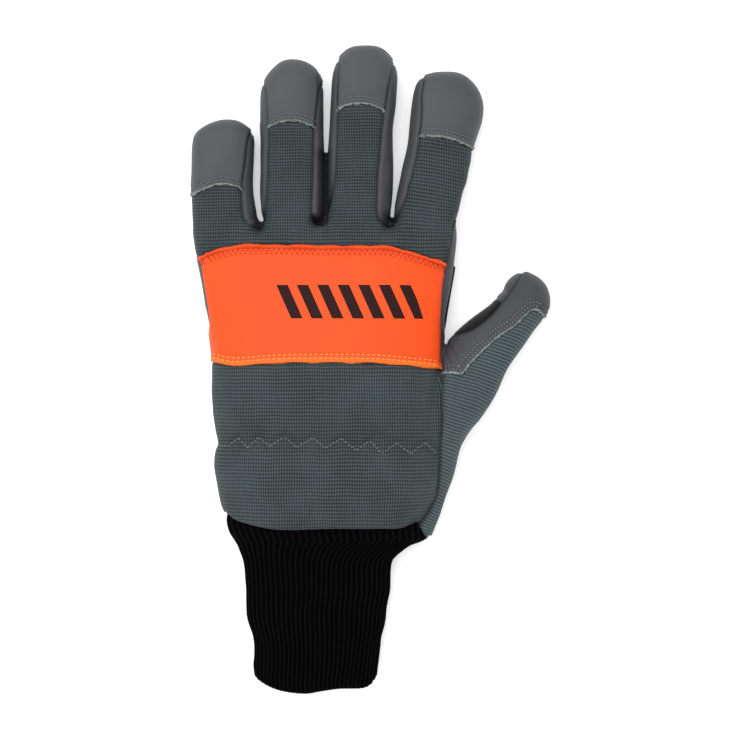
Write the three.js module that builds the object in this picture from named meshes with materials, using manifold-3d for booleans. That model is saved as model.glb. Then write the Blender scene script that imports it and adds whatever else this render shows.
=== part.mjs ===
// A protective work glove for the left hand, lying palm down on a flat surface: padded
// weave back with a coated knuckle band, leather palm and finger sides, leather fingertip
// caps and thumb saddle, and a black rib-knit wrist. It is one hollow, open at the wrist.
// Millimetres. +X is the thumb side, +Y runs to the fingertips, +Z is up from the palm.
import * as THREE from 'three';
import { mergeVertices } from 'three/addons/utils/BufferGeometryUtils.js';
import Module from 'manifold-3d';

const wasm = await Module();
wasm.setup();

// Driving sizes. Every length in the tables below is a share of one of the first three:
// "along" of BACK_LENGTH (0 at the wrist hem, 1 at the finger roots), "left", "right",
// "across" and "half" of HAND_WIDTH (0 under the middle finger's inner edge), and
// "bottom", "top" and "height" of PAD_HEIGHT (0 on the surface the glove lies on).
const HAND_WIDTH = 118;
const BACK_LENGTH = 135.5;
const PAD_HEIGHT = 33;

const WALL = 1.8;          // leather or weave with its backing
const PAD_WALL = 3;        // foam-backed weave over the back of the hand
const CUFF_WALL = 2.4;     // folded knit, measured in the valleys of the ribs
const RIB_COUNT = 56;
const RIB_DEPTH = 0.8;
const HEM_RISE = 1.6;      // folded top edge of the band, proud of the weave
const HEM_WIDTH = 2.4;
const PATCH_RISE = 1.3;    // palm reinforcement, proud at the index side
const PATCH_HEIGHT = 10.5; // how far up the side the palm reinforcement comes
const THUMB_PATCH_BASE = 3.2; // how far up the thumb's side its reinforcement starts
const REST_SINK = 0.9;     // how far the soft underside is pressed flat where it rests
const TUCK = 7;            // how far the wrist runs up inside the hem
const GAP = 0.3;           // between two pieces sewn side by side
const REACH = 400;         // longer than the glove, for the solids that only cut

// How full a cross-section is: 2 is an ellipse, more is squarer.
const HAND_SHAPE = { crown: 2.3, sole: 4.5, middle: 0.42, points: 32, innerPoints: 18 };
const FINGER_SHAPE = { crown: 2.8, sole: 4, middle: 0.45, points: 16, innerPoints: 10 };
const THUMB_SHAPE = { crown: 2.3, sole: 3.6, middle: 0.45, points: 18, innerPoints: 10 };
const CUFF_SHAPE = { crown: 2.2, sole: 2.8, middle: 0.5, points: 2 * RIB_COUNT, innerPoints: 18 };

// Hand from the wrist to the finger roots. The dip near 0.29 is the quilting line.
const HAND = [
  { along: -0.06, left: -0.325, right: 0.285, bottom: 0, top: 0.605 },
  { along: -0.005, left: -0.35, right: 0.315, bottom: 0, top: 0.775 },
  { along: 0.05, left: -0.37, right: 0.355, bottom: 0, top: 0.935 },
  { along: 0.085, left: -0.38, right: 0.39, bottom: 0, top: 0.975 },
  { along: 0.14, left: -0.395, right: 0.415, bottom: 0, top: 1 },
  { along: 0.255, left: -0.4, right: 0.44, bottom: 0, top: 0.955 },
  { along: 0.29, left: -0.39, right: 0.44, bottom: 0, top: 0.88 },
  { along: 0.325, left: -0.4, right: 0.44, bottom: 0, top: 0.94 },
  { along: 0.375, left: -0.41, right: 0.44, bottom: 0, top: 0.985 },
  { along: 0.55, left: -0.415, right: 0.44, bottom: 0, top: 0.965 },
  { along: 0.65, left: -0.425, right: 0.44, bottom: 0, top: 0.925 },
  { along: 0.845, left: -0.465, right: 0.475, bottom: 0, top: 0.825 },
  { along: 0.925, left: -0.485, right: 0.485, bottom: 0, top: 0.76 },
  { along: 1, left: -0.495, right: 0.49, bottom: 0, top: 0.65 },
];

const LITTLE = [
  { along: 0.87, left: -0.465, right: -0.245, bottom: 0, top: 0.62 },
  { along: 0.955, left: -0.49, right: -0.25, bottom: 0, top: 0.62 },
  { along: 1.03, left: -0.495, right: -0.26, bottom: 0, top: 0.59 },
  { along: 1.185, left: -0.495, right: -0.27, bottom: 0, top: 0.56 },
  { along: 1.255, left: -0.49, right: -0.265, bottom: 0, top: 0.56 },
  { along: 1.285, left: -0.48, right: -0.27, bottom: 0, top: 0.54 },
  { along: 1.305, left: -0.455, right: -0.29, bottom: 0.03, top: 0.5 },
  { along: 1.32, left: -0.425, right: -0.31, bottom: 0.07, top: 0.43 },
  { along: 1.33, left: -0.39, right: -0.335, bottom: 0.12, top: 0.33 },
];

const RING = [
  { along: 0.87, left: -0.23, right: -0.01, bottom: 0, top: 0.7 },
  { along: 0.955, left: -0.235, right: -0.01, bottom: 0, top: 0.7 },
  { along: 1.03, left: -0.245, right: -0.005, bottom: 0, top: 0.65 },
  { along: 1.235, left: -0.24, right: -0.002, bottom: 0, top: 0.6 },
  { along: 1.43, left: -0.24, right: -0.005, bottom: 0, top: 0.59 },
  { along: 1.47, left: -0.22, right: -0.02, bottom: 0, top: 0.56 },
  { along: 1.495, left: -0.195, right: -0.035, bottom: 0.03, top: 0.51 },
  { along: 1.515, left: -0.17, right: -0.065, bottom: 0.07, top: 0.44 },
  { along: 1.525, left: -0.15, right: -0.09, bottom: 0.12, top: 0.34 },
];

const MIDDLE = [
  { along: 0.87, left: 0.02, right: 0.235, bottom: 0, top: 0.72 },
  { along: 0.955, left: 0.01, right: 0.235, bottom: 0, top: 0.72 },
  { along: 1.055, left: 0.004, right: 0.245, bottom: 0, top: 0.66 },
  { along: 1.28, left: 0.006, right: 0.25, bottom: 0, top: 0.62 },
  { along: 1.395, left: 0.015, right: 0.265, bottom: 0, top: 0.62 },
  { along: 1.475, left: 0.03, right: 0.27, bottom: 0, top: 0.6 },
  { along: 1.515, left: 0.04, right: 0.26, bottom: 0, top: 0.56 },
  { along: 1.54, left: 0.06, right: 0.24, bottom: 0.03, top: 0.51 },
  { along: 1.56, left: 0.08, right: 0.22, bottom: 0.07, top: 0.44 },
  { along: 1.57, left: 0.1, right: 0.2, bottom: 0.12, top: 0.34 },
];

const INDEX = [
  { along: 0.87, left: 0.25, right: 0.475, bottom: 0, top: 0.66 },
  { along: 0.975, left: 0.255, right: 0.485, bottom: 0, top: 0.66 },
  { along: 1.055, left: 0.265, right: 0.5, bottom: 0, top: 0.64 },
  { along: 1.155, left: 0.285, right: 0.535, bottom: 0, top: 0.62 },
  { along: 1.33, left: 0.315, right: 0.58, bottom: 0, top: 0.62 },
  { along: 1.385, left: 0.325, right: 0.585, bottom: 0, top: 0.6 },
  { along: 1.43, left: 0.33, right: 0.57, bottom: 0, top: 0.56 },
  { along: 1.46, left: 0.345, right: 0.54, bottom: 0.03, top: 0.51 },
  { along: 1.475, left: 0.375, right: 0.52, bottom: 0.07, top: 0.44 },
  { along: 1.485, left: 0.405, right: 0.495, bottom: 0.12, top: 0.34 },
];

// The thumb and its gusset, along a curve from the wrist hem out to the tip.
const THUMB = [
  { along: -0.02, across: 0.228, half: 0.157, bottom: 0, top: 0.52 },
  { along: 0.08, across: 0.284, half: 0.149, bottom: 0, top: 0.58 },
  { along: 0.2, across: 0.34, half: 0.138, bottom: 0, top: 0.65 },
  { along: 0.335, across: 0.396, half: 0.134, bottom: 0, top: 0.71 },
  { along: 0.46, across: 0.496, half: 0.134, bottom: 0, top: 0.74 },
  { along: 0.585, across: 0.578, half: 0.129, bottom: 0, top: 0.73 },
  { along: 0.687, across: 0.688, half: 0.101, bottom: 0, top: 0.69 },
  { along: 0.747, across: 0.744, half: 0.091, bottom: 0.01, top: 0.63 },
  { along: 0.8, across: 0.742, half: 0.066, bottom: 0.04, top: 0.53 },
  { along: 0.822, across: 0.741, half: 0.04, bottom: 0.08, top: 0.44 },
  { along: 0.835, across: 0.741, half: 0.015, bottom: 0.14, top: 0.36 },
];

// Rib-knit wrist from inside the hem to the mouth; "bow" pushes the middle of a row
// further towards the arm, because the mouth of the flattened tube is rounded.
const CUFF = [
  { along: 0.07, left: -0.365, right: 0.405, bottom: 0.09, top: 0.86, bow: 0 },
  { along: 0.005, left: -0.357, right: 0.375, bottom: 0.09, top: 0.72, bow: 0 },
  { along: -0.045, left: -0.337, right: 0.33, bottom: 0, top: 0.6, bow: 0 },
  { along: -0.1, left: -0.308, right: 0.25, bottom: 0, top: 0.56, bow: 0 },
  { along: -0.38, left: -0.273, right: 0.208, bottom: 0, top: 0.5, bow: 0.03 },
  { along: -0.475, left: -0.262, right: 0.193, bottom: 0.03, top: 0.43, bow: 0.054 },
];

// Height of the seam between the back pieces and the palm leather round the sides.
const SIDE_SEAM = [
  { along: -0.3, height: 0.27 },
  { along: 0.5, height: 0.27 },
  { along: 1, height: 0.21 },
  { along: 1.8, height: 0.17 },
];

// Wrist hem of the back and the palm, from the little-finger side to the thumb side.
const WRIST_HEM = [
  { across: -0.5, along: 0.06 },
  { across: -0.37, along: 0.05 },
  { across: -0.3, along: 0.025 },
  { across: -0.13, along: 0 },
  { across: 0.2, along: 0 },
  { across: 0.31, along: 0.02 },
  { across: 0.345, along: -0.015 },
  { across: 0.38, along: -0.03 },
  { across: 0.6, along: -0.03 },
];

// Seams seen from above. Each is one line of points; a line that ends outside the glove
// runs off its edge there.
const BACK_EDGE = [
  { across: 0.52, along: 1.07 },
  { across: 0.48, along: 0.99 },
  { across: 0.465, along: 0.925 },
  { across: 0.453, along: 0.87 },
  { across: 0.438, along: 0.795 },
  { across: 0.43, along: 0.715 },
  { across: 0.428, along: 0.61 },
  { across: 0.433, along: 0.506 },
  { across: 0.435, along: 0.39 },
  { across: 0.432, along: 0.26 },
  { across: 0.425, along: 0.16 },
  { across: 0.408, along: 0.105 },
  { across: 0.372, along: 0.065 },
  { across: 0.31, along: 0.02 },
  { across: 0.3, along: -0.1 },
];

const BAND_TOP = [
  { across: -0.56, along: 0.87 },
  { across: -0.45, along: 0.893 },
  { across: -0.37, along: 0.912 },
  { across: -0.3, along: 0.922 },
  { across: -0.02, along: 0.917 },
  { across: 0.22, along: 0.917 },
  { across: 0.317, along: 0.9 },
  { across: 0.453, along: 0.87 },
];

// Middle of the folded roll along the band's top edge.
const BAND_HEM = [
  { across: -0.457, along: 0.88 },
  { across: -0.37, along: 0.9 },
  { across: -0.3, along: 0.91 },
  { across: -0.02, along: 0.905 },
  { across: 0.22, along: 0.905 },
  { across: 0.313, along: 0.888 },
  { across: 0.443, along: 0.858 },
];

const BAND_BOTTOM = [
  { across: -0.56, along: 0.56 },
  { across: -0.42, along: 0.545 },
  { across: -0.31, along: 0.532 },
  { across: -0.15, along: 0.54 },
  { across: 0.2, along: 0.54 },
  { across: 0.434, along: 0.52 },
];

const THUMB_SEAM = [
  { across: 0.428, along: 0.64 },
  { across: 0.465, along: 0.629 },
  { across: 0.494, along: 0.631 },
  { across: 0.541, along: 0.649 },
  { across: 0.588, along: 0.675 },
  { across: 0.654, along: 0.73 },
  { across: 0.698, along: 0.776 },
  { across: 0.744, along: 0.836 },
  { across: 0.76, along: 0.88 },
];

const SADDLE_EDGE = [
  { across: 0.433, along: 0.506 },
  { across: 0.507, along: 0.505 },
  { across: 0.541, along: 0.547 },
  { across: 0.614, along: 0.602 },
  { across: 0.689, along: 0.653 },
  { across: 0.756, along: 0.707 },
  { across: 0.778, along: 0.712 },
  { across: 0.8, along: 0.701 },
  { across: 0.87, along: 0.65 },
];

// Leather side walls between two fingers: down one finger, round the crotch, up the next.
const SIDE_LITTLE_RING = [
  { across: -0.25, along: 1.31 },
  { across: -0.281, along: 1.28 },
  { across: -0.295, along: 1.19 },
  { across: -0.305, along: 1.12 },
  { across: -0.3, along: 1.01 },
  { across: -0.285, along: 0.965 },
  { across: -0.25, along: 0.95 },
  { across: -0.232, along: 0.975 },
  { across: -0.228, along: 1.015 },
  { across: -0.216, along: 1.175 },
  { across: -0.213, along: 1.315 },
  { across: -0.221, along: 1.435 },
  { across: -0.26, along: 1.48 },
];

const SIDE_RING_MIDDLE = [
  { across: 0.01, along: 1.47 },
  { across: -0.016, along: 1.44 },
  { across: -0.035, along: 1.305 },
  { across: -0.038, along: 1.175 },
  { across: -0.043, along: 1.02 },
  { across: -0.02, along: 0.98 },
  { across: 0.012, along: 0.98 },
  { across: 0.025, along: 1.02 },
  { across: 0.036, along: 1.175 },
  { across: 0.041, along: 1.305 },
  { across: 0.047, along: 1.425 },
  { across: 0.05, along: 1.535 },
  { across: 0.01, along: 1.57 },
];

const SIDE_MIDDLE_INDEX = [
  { across: 0.3, along: 1.55 },
  { across: 0.258, along: 1.525 },
  { across: 0.233, along: 1.415 },
  { across: 0.219, along: 1.305 },
  { across: 0.201, along: 1.155 },
  { across: 0.193, along: 1.02 },
  { across: 0.21, along: 0.975 },
  { across: 0.25, along: 0.965 },
  { across: 0.272, along: 0.99 },
  { across: 0.285, along: 1.04 },
  { across: 0.3, along: 1.09 },
  { across: 0.328, along: 1.185 },
  { across: 0.345, along: 1.26 },
  { across: 0.358, along: 1.37 },
  { across: 0.368, along: 1.47 },
  { across: 0.33, along: 1.5 },
];

// Raw lower edges of the four fingertip caps, each from its left side to its right.
const CAP_EDGES = {
  little: [
    { across: -0.56, along: 1.075 },
    { across: -0.485, along: 1.09 },
    { across: -0.387, along: 1.117 },
    { across: -0.305, along: 1.1 },
  ],
  ring: [
    { across: -0.213, along: 1.3 },
    { across: -0.118, along: 1.32 },
    { across: -0.035, along: 1.3 },
  ],
  middle: [
    { across: 0.044, along: 1.352 },
    { across: 0.133, along: 1.375 },
    { across: 0.224, along: 1.35 },
  ],
  index: [
    { across: 0.346, along: 1.268 },
    { across: 0.45, along: 1.265 },
    { across: 0.548, along: 1.235 },
    { across: 0.66, along: 1.2 },
  ],
};

// Where palm leather comes up over the side: the index side above the thumb, the inner
// side of the thumb, and the edge beside the band on the little-finger side.
const INDEX_WRAP = [
  ...BACK_EDGE.slice(0, 6),
  { across: 0.428, along: 0.64 },
  { across: 0.465, along: 0.629 },
  { across: 0.53, along: 0.8 },
  { across: 0.6, along: 1.07 },
];
const THUMB_WRAP = [
  ...THUMB_SEAM.slice(1),
  { across: 0.6, along: 0.88 },
  { across: 0.47, along: 0.7 },
];
const LITTLE_WRAP = [
  { across: -0.56, along: 0.9 },
  { across: -0.475, along: 0.89 },
  { across: -0.466, along: 0.847 },
  { across: -0.45, along: 0.766 },
  { across: -0.428, along: 0.66 },
  { across: -0.56, along: 0.6 },
];

// Reinforcements, as outlines seen from above.
const PALM_PATCH = [
  { across: -0.2, along: 0.3 },
  { across: -0.2, along: 0.86 },
  { across: 0.6, along: 0.86 },
  { across: 0.56, along: 0.78 },
  { across: 0.47, along: 0.665 },
  { across: 0.38, along: 0.62 },
  { across: 0.34, along: 0.3 },
];
const THUMB_PATCH = [
  { across: 0.477, along: 0.631 },
  { across: 0.494, along: 0.631 },
  { across: 0.541, along: 0.649 },
  { across: 0.588, along: 0.675 },
  { across: 0.654, along: 0.73 },
  { across: 0.6, along: 0.79 },
  { across: 0.47, along: 0.7 },
];

// Finish of each kind of material.
const FINISH = {
  weave: { color: 0x444c4f, roughness: 0.9, metalness: 0 },
  gusset: { color: 0x50585b, roughness: 0.9, metalness: 0 },
  band: { color: 0xfe6537, roughness: 0.5, metalness: 0 },
  leather: { color: 0x5b5f62, roughness: 0.75, metalness: 0 },
  sideLeather: { color: 0x505356, roughness: 0.75, metalness: 0 },
  suede: { color: 0x222223, roughness: 0.95, metalness: 0 },
  knit: { color: 0x0b0a0c, roughness: 0.95, metalness: 0 },
};

// Every piece above the side seam, with a spot on it as seen from above.
const UPPER_PIECES = [
  { name: 'back_upper', finish: 'weave', across: 0.1, along: 0.95 },
  { name: 'knuckle_band', finish: 'band', across: 0, along: 0.7 },
  { name: 'back_lower', finish: 'weave', across: 0, along: 0.4 },
  { name: 'thumb_gusset', finish: 'gusset', across: 0.5, along: 0.42 },
  { name: 'thumb_leather', finish: 'leather', across: 0.58, along: 0.62 },
  { name: 'cap_little', finish: 'leather', across: -0.38, along: 1.22 },
  { name: 'cap_ring', finish: 'leather', across: -0.12, along: 1.42 },
  { name: 'cap_middle', finish: 'leather', across: 0.14, along: 1.46 },
  { name: 'cap_index', finish: 'leather', across: 0.45, along: 1.38 },
  { name: 'side_little_ring', finish: 'sideLeather', across: -0.228, along: 1.2 },
  { name: 'side_ring_middle', finish: 'sideLeather', across: -0.015, along: 1.2 },
  { name: 'side_middle_index', finish: 'sideLeather', across: 0.225, along: 1.2 },
];

const xOf = (spot) => spot.across * HAND_WIDTH;
const yOf = (spot) => spot.along * BACK_LENGTH;

// Joining and cutting solids.
function solidOf(geometry) {
  const bare = new THREE.BufferGeometry();
  bare.setAttribute('position', geometry.getAttribute('position'));
  bare.setIndex(geometry.index);
  const merged = mergeVertices(bare, 1e-4);
  return new wasm.Manifold(new wasm.Mesh({
    numProp: 3,
    vertProperties: merged.attributes.position.array,
    triVerts: new Uint32Array(merged.index.array),
  }));
}

const join = (solids) => solids.reduce((whole, next) => whole.add(next));

function meshOf(solid, name, finish) {
  const { vertProperties, triVerts } = solid.getMesh();
  const indexed = new THREE.BufferGeometry();
  indexed.setAttribute('position', new THREE.BufferAttribute(vertProperties, 3));
  indexed.setIndex(new THREE.BufferAttribute(triVerts, 1));
  const geometry = indexed.toNonIndexed();
  geometry.computeVertexNormals();
  const mesh = new THREE.Mesh(geometry, new THREE.MeshStandardMaterial(FINISH[finish]));
  mesh.name = name;
  return mesh;
}

// Tubes with a changing cross-section.
function ovalRing(half, low, high, shape, count) {
  const middle = low + (high - low) * shape.middle;
  const dense = [];
  for (let i = 0; i < 180; i++) {
    const angle = (i / 180) * 2 * Math.PI;
    const up = Math.sin(angle) >= 0;
    const power = 2 / (up ? shape.crown : shape.sole);
    const reach = up ? high - middle : middle - low;
    const side = Math.sign(Math.cos(angle)) * Math.abs(Math.cos(angle)) ** power;
    const rise = Math.sign(Math.sin(angle)) * Math.abs(Math.sin(angle)) ** power;
    dense.push(new THREE.Vector2(half * side, middle + reach * rise));
  }
  const lengths = [0];
  dense.forEach((point, i) => {
    lengths.push(lengths[i] + point.distanceTo(dense[(i + 1) % dense.length]));
  });
  const total = lengths[dense.length];
  const ring = [];
  for (let k = 0, i = 0; k < count; k++) {
    const wanted = (k / count) * total;
    while (lengths[i + 1] < wanted) i++;
    const share = (wanted - lengths[i]) / (lengths[i + 1] - lengths[i]);
    ring.push(dense[i].clone().lerp(dense[(i + 1) % dense.length], share));
  }
  return ring;
}

function loft(rings) {
  const count = rings[0].length;
  const last = rings.length - 1;
  const middleOf = (ring) => ring
    .reduce((sum, point) => sum.add(point), new THREE.Vector3())
    .divideScalar(count);
  const points = [...rings.flat(), middleOf(rings[0]), middleOf(rings[last])];
  const faces = [];
  for (let j = 0; j < count; j++) {
    const next = (j + 1) % count;
    for (let i = 0; i < last; i++) {
      const a = i * count + j;
      const b = i * count + next;
      faces.push(a, b, b + count, a, b + count, a + count);
    }
    faces.push(points.length - 2, next, j);
    faces.push(points.length - 1, last * count + j, last * count + next);
  }
  const geometry = new THREE.BufferGeometry().setFromPoints(points);
  geometry.setIndex(faces);
  const solid = solidOf(geometry);
  if (solid.volume() > 0) return solid;
  geometry.setIndex(faces.reverse());
  return solidOf(geometry);
}

// One oval of a tube, "inset" in from its skin on every side and "topInset" from above.
function oval(row, shape, half, inset, topInset) {
  const low = row.bottom * PAD_HEIGHT - REST_SINK + inset;
  const high = row.top * PAD_HEIGHT - topInset;
  const count = inset > 0 ? shape.innerPoints : shape.points;
  return ovalRing(Math.max(half - inset, 0.8), low, Math.max(high, low + 1.5), shape, count);
}

function ribbedRing(ring) {
  const at = (i) => ring[(i + ring.length) % ring.length];
  return ring.map((point, i) => {
    const ahead = at(i + 1).clone().sub(at(i - 1)).normalize();
    const inwards = new THREE.Vector2(-ahead.y, ahead.x);
    return point.clone().addScaledVector(inwards, i % 2 ? RIB_DEPTH : 0);
  });
}

function cuffTube(inset, overrun) {
  const last = CUFF.length - 1;
  return loft(CUFF.map((row, i) => {
    const middle = ((row.left + row.right) / 2) * HAND_WIDTH;
    const half = ((row.right - row.left) / 2) * HAND_WIDTH;
    const past = (i === 0 ? overrun : 0) - (i === last ? overrun : 0);
    const ring = oval(row, CUFF_SHAPE, half, inset, inset);
    return (inset > 0 ? ring : ribbedRing(ring)).map((point) => {
      const bow = row.bow * BACK_LENGTH * (1 - Math.min((point.x / half) ** 2, 1));
      return new THREE.Vector3(middle + point.x, yOf(row) - bow + past, point.y);
    });
  }));
}

function straightTube(rows, shape, inset, topInset = inset) {
  const start = rows[0].along;
  const span = rows[rows.length - 1].along - start;
  return loft(rows.map((row) => {
    const middle = ((row.left + row.right) / 2) * HAND_WIDTH;
    const half = ((row.right - row.left) / 2) * HAND_WIDTH;
    const y = yOf(row) - inset * Math.abs((row.along - start) / span);
    return oval(row, shape, half, inset, topInset)
      .map((point) => new THREE.Vector3(middle + point.x, y, point.y));
  }));
}

function thumbTube(inset) {
  const centres = THUMB.map((row) => new THREE.Vector2(xOf(row), yOf(row)));
  const last = centres.length - 1;
  return loft(THUMB.map((row, i) => {
    const ahead = centres[Math.min(i + 1, last)].clone()
      .sub(centres[Math.max(i - 1, 0)]).normalize();
    const middle = centres[i].clone().addScaledVector(ahead, -inset * (i / last));
    return oval(row, THUMB_SHAPE, row.half * HAND_WIDTH, inset, inset)
      .map((point) => new THREE.Vector3(
        middle.x + ahead.y * point.x, middle.y - ahead.x * point.x, point.y));
  }));
}

// Prisms: seen from above, or from the side.
function prism(outline, low, high) {
  const shape = new THREE.Shape(outline);
  const geometry = new THREE.ExtrudeGeometry(shape, { depth: high - low, bevelEnabled: false });
  return solidOf(geometry.translate(0, 0, low));
}

function sidePrism(outline) {
  const shape = new THREE.Shape(outline);
  const geometry = new THREE.ExtrudeGeometry(shape, { depth: 2 * REACH, bevelEnabled: false });
  geometry.translate(0, 0, -REACH);
  return solidOf(geometry.applyMatrix4(new THREE.Matrix4().makeBasis(
    new THREE.Vector3(0, 1, 0), new THREE.Vector3(0, 0, 1), new THREE.Vector3(1, 0, 0))));
}

const planOf = (spots) => spots.map((spot) => new THREE.Vector2(xOf(spot), yOf(spot)));

// The line moved sideways by a distance, to its left as it runs.
function beside(points, distance, closed) {
  const last = points.length - 1;
  const at = (i) => (closed
    ? points[(i + points.length) % points.length]
    : points[Math.min(Math.max(i, 0), last)]);
  return points.map((point, i) => {
    const before = point.clone().sub(at(i - 1)).normalize();
    const after = at(i + 1).clone().sub(point).normalize();
    const ahead = before.clone().add(after).normalize();
    const aside = new THREE.Vector2(-ahead.y, ahead.x);
    const turn = before.lengthSq() && after.lengthSq() ? Math.abs(ahead.dot(after)) : 1;
    return point.clone().addScaledVector(aside, distance / Math.max(turn, 0.5));
  });
}

function seamCut(spots, width = GAP) {
  const line = planOf(spots);
  const outline = [...beside(line, width / 2), ...beside(line, -width / 2).reverse()];
  return prism(outline, -1, REACH);
}

function everythingAbove(height) {
  return prism([
    new THREE.Vector2(-REACH, -REACH),
    new THREE.Vector2(REACH, -REACH),
    new THREE.Vector2(REACH, REACH),
    new THREE.Vector2(-REACH, REACH),
  ], height, REACH);
}

// The whole glove without its wrist, grown or shrunk, and flat underneath.
function gloveForm(inset, topInset = inset) {
  return join([
    straightTube(HAND, HAND_SHAPE, inset, topInset),
    ...[LITTLE, RING, MIDDLE, INDEX].map((rows) => straightTube(rows, FINGER_SHAPE, inset)),
    thumbTube(inset),
  ]).intersect(everythingAbove(Math.max(inset, 0)));
}

function belowHem(drop) {
  const edge = planOf(WRIST_HEM).map((point) => point.setY(point.y - drop));
  return prism([
    ...edge,
    new THREE.Vector2(REACH, edge[edge.length - 1].y),
    new THREE.Vector2(REACH, -REACH),
    new THREE.Vector2(-REACH, -REACH),
    new THREE.Vector2(-REACH, edge[0].y),
  ], -REACH, REACH);
}

// Everything above the side seam, or with "thickness" only a slab of that height on it.
function aboveSideSeam(rise, thickness) {
  const edge = SIDE_SEAM.map((row) => (
    new THREE.Vector2(yOf(row), row.height * PAD_HEIGHT + rise)));
  const lid = thickness
    ? edge.map((point) => point.clone().setY(point.y + thickness)).reverse()
    : [new THREE.Vector2(REACH, REACH), new THREE.Vector2(-REACH, REACH)];
  return sidePrism([...edge, ...lid]);
}

function pieceAt(bodies, spot, low, high) {
  const x = xOf(spot);
  const y = yOf(spot);
  const probe = prism([
    new THREE.Vector2(x - 0.6, y - 0.6),
    new THREE.Vector2(x + 0.6, y - 0.6),
    new THREE.Vector2(x + 0.6, y + 0.6),
    new THREE.Vector2(x - 0.6, y + 0.6),
  ], low, high);
  const shared = bodies.map((body) => body.intersect(probe).volume());
  return bodies[shared.indexOf(Math.max(...shared))];
}

// The hollow shell, cut along its seams.
const hollow = gloveForm(WALL, PAD_WALL);
const skin = gloveForm(0);
const seams = join([
  BACK_EDGE, BAND_TOP, BAND_BOTTOM, THUMB_SEAM, SADDLE_EDGE, LITTLE_WRAP,
  SIDE_LITTLE_RING, SIDE_RING_MIDDLE, SIDE_MIDDLE_INDEX, ...Object.values(CAP_EDGES),
].map((line) => seamCut(line)));
const wraps = join([INDEX_WRAP, THUMB_WRAP, LITTLE_WRAP]
  .map((outline) => prism(planOf(outline), -1, REACH)));
const upperSeams = seams.intersect(aboveSideSeam(-GAP / 2));
const bodies = skin
  .subtract(hollow)
  .subtract(belowHem(0))
  .subtract(upperSeams)
  .subtract(aboveSideSeam(-GAP / 2, GAP).subtract(wraps))
  .decompose()
  .filter((body) => body.volume() > 1);
if (bodies.length !== UPPER_PIECES.length + 1) {
  throw new Error(`the seams cut the shell into ${bodies.length} pieces`);
}

const solids = {};
for (const spot of UPPER_PIECES) {
  solids[spot.name] = pieceAt(bodies, spot, 0.3 * PAD_HEIGHT, REACH);
}
const under = pieceAt(bodies, { across: 0, along: 0.4 }, -1, 1);

// The band's top edge is folded over into a roll.
const hemRoll = seamCut(BAND_HEM, HEM_WIDTH)
  .intersect(gloveForm(-HEM_RISE))
  .subtract(hollow)
  .intersect(aboveSideSeam(GAP));
solids.knuckle_band = solids.knuckle_band.add(hemRoll);

// Reinforcements take the place of the palm leather.
const patchArea = (outline, base, top, inset) => (
  prism(beside(planOf(outline), inset, true), base, top));
solids.palm_patch = gloveForm(-PATCH_RISE)
  .subtract(hollow)
  .intersect(patchArea(PALM_PATCH, -1, PATCH_HEIGHT - GAP, -GAP))
  .subtract(aboveSideSeam(-GAP / 2).subtract(wraps).add(upperSeams));
solids.thumb_patch = under.intersect(patchArea(THUMB_PATCH, THUMB_PATCH_BASE + GAP, REACH, GAP));
solids.palm = under
  .subtract(patchArea(PALM_PATCH, -1, PATCH_HEIGHT, 0))
  .subtract(patchArea(THUMB_PATCH, THUMB_PATCH_BASE, REACH, 0));

// The wrist: ribbed below the hem, and a smooth tuck that fits inside the hem.
const tuck = gloveForm(WALL + GAP, PAD_WALL + GAP)
  .intersect(belowHem(-TUCK))
  .subtract(belowHem(1));
solids.rib_cuff = cuffTube(0, 0)
  .intersect(belowHem(GAP))
  .add(tuck)
  .subtract(cuffTube(RIB_DEPTH + CUFF_WALL, 3))
  .intersect(everythingAbove(0));

const finishes = {
  ...Object.fromEntries(UPPER_PIECES.map((spot) => [spot.name, spot.finish])),
  palm: 'leather',
  palm_patch: 'suede',
  thumb_patch: 'suede',
  rib_cuff: 'knit',
};
const glove = new THREE.Group();
glove.name = 'protective_glove';
for (const [name, solid] of Object.entries(solids)) {
  glove.add(meshOf(solid, name, finishes[name]));
}

// The frame stands under the middle of the glove, on the surface that it lies on.
const box = new THREE.Box3().setFromObject(glove);
const middle = box.getCenter(new THREE.Vector3());
glove.position.set(-middle.x, -middle.y, -box.min.z);

export default glove;
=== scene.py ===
"""A left-hand chainsaw glove lying palm down on a pale surface.

The skin of the glove is lofted through the same section tables as the solids, drawn
together into one soft form, and then cut along its sewn seams into panels of weave,
leather, suede and coated cloth. Stitches, ribs and raw edges are laid on those panels.
Lengths are metres. +X is the thumb side, +Y the fingertips, +Z the back of the hand.
"""
import logging
import math
from dataclasses import dataclass, field
from enum import Enum
from functools import cached_property
from typing import NamedTuple, Sequence

import bmesh
import bpy
import numpy as np
from mathutils import Matrix, Vector
from mathutils.bvhtree import BVHTree


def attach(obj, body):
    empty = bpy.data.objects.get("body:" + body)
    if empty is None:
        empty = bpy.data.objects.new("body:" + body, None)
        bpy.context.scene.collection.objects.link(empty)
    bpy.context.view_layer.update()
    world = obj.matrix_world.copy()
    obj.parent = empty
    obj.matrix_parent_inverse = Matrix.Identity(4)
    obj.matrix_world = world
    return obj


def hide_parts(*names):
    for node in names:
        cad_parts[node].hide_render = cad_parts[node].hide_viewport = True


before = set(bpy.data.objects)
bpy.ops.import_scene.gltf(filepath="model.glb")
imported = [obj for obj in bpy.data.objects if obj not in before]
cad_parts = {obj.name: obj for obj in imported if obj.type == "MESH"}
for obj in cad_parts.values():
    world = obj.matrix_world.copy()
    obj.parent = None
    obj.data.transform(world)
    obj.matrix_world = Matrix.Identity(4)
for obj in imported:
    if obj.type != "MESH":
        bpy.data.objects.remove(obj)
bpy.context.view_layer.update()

logging.basicConfig(level=logging.INFO, format="%(message)s")
LOG = logging.getLogger("glove")

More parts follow.
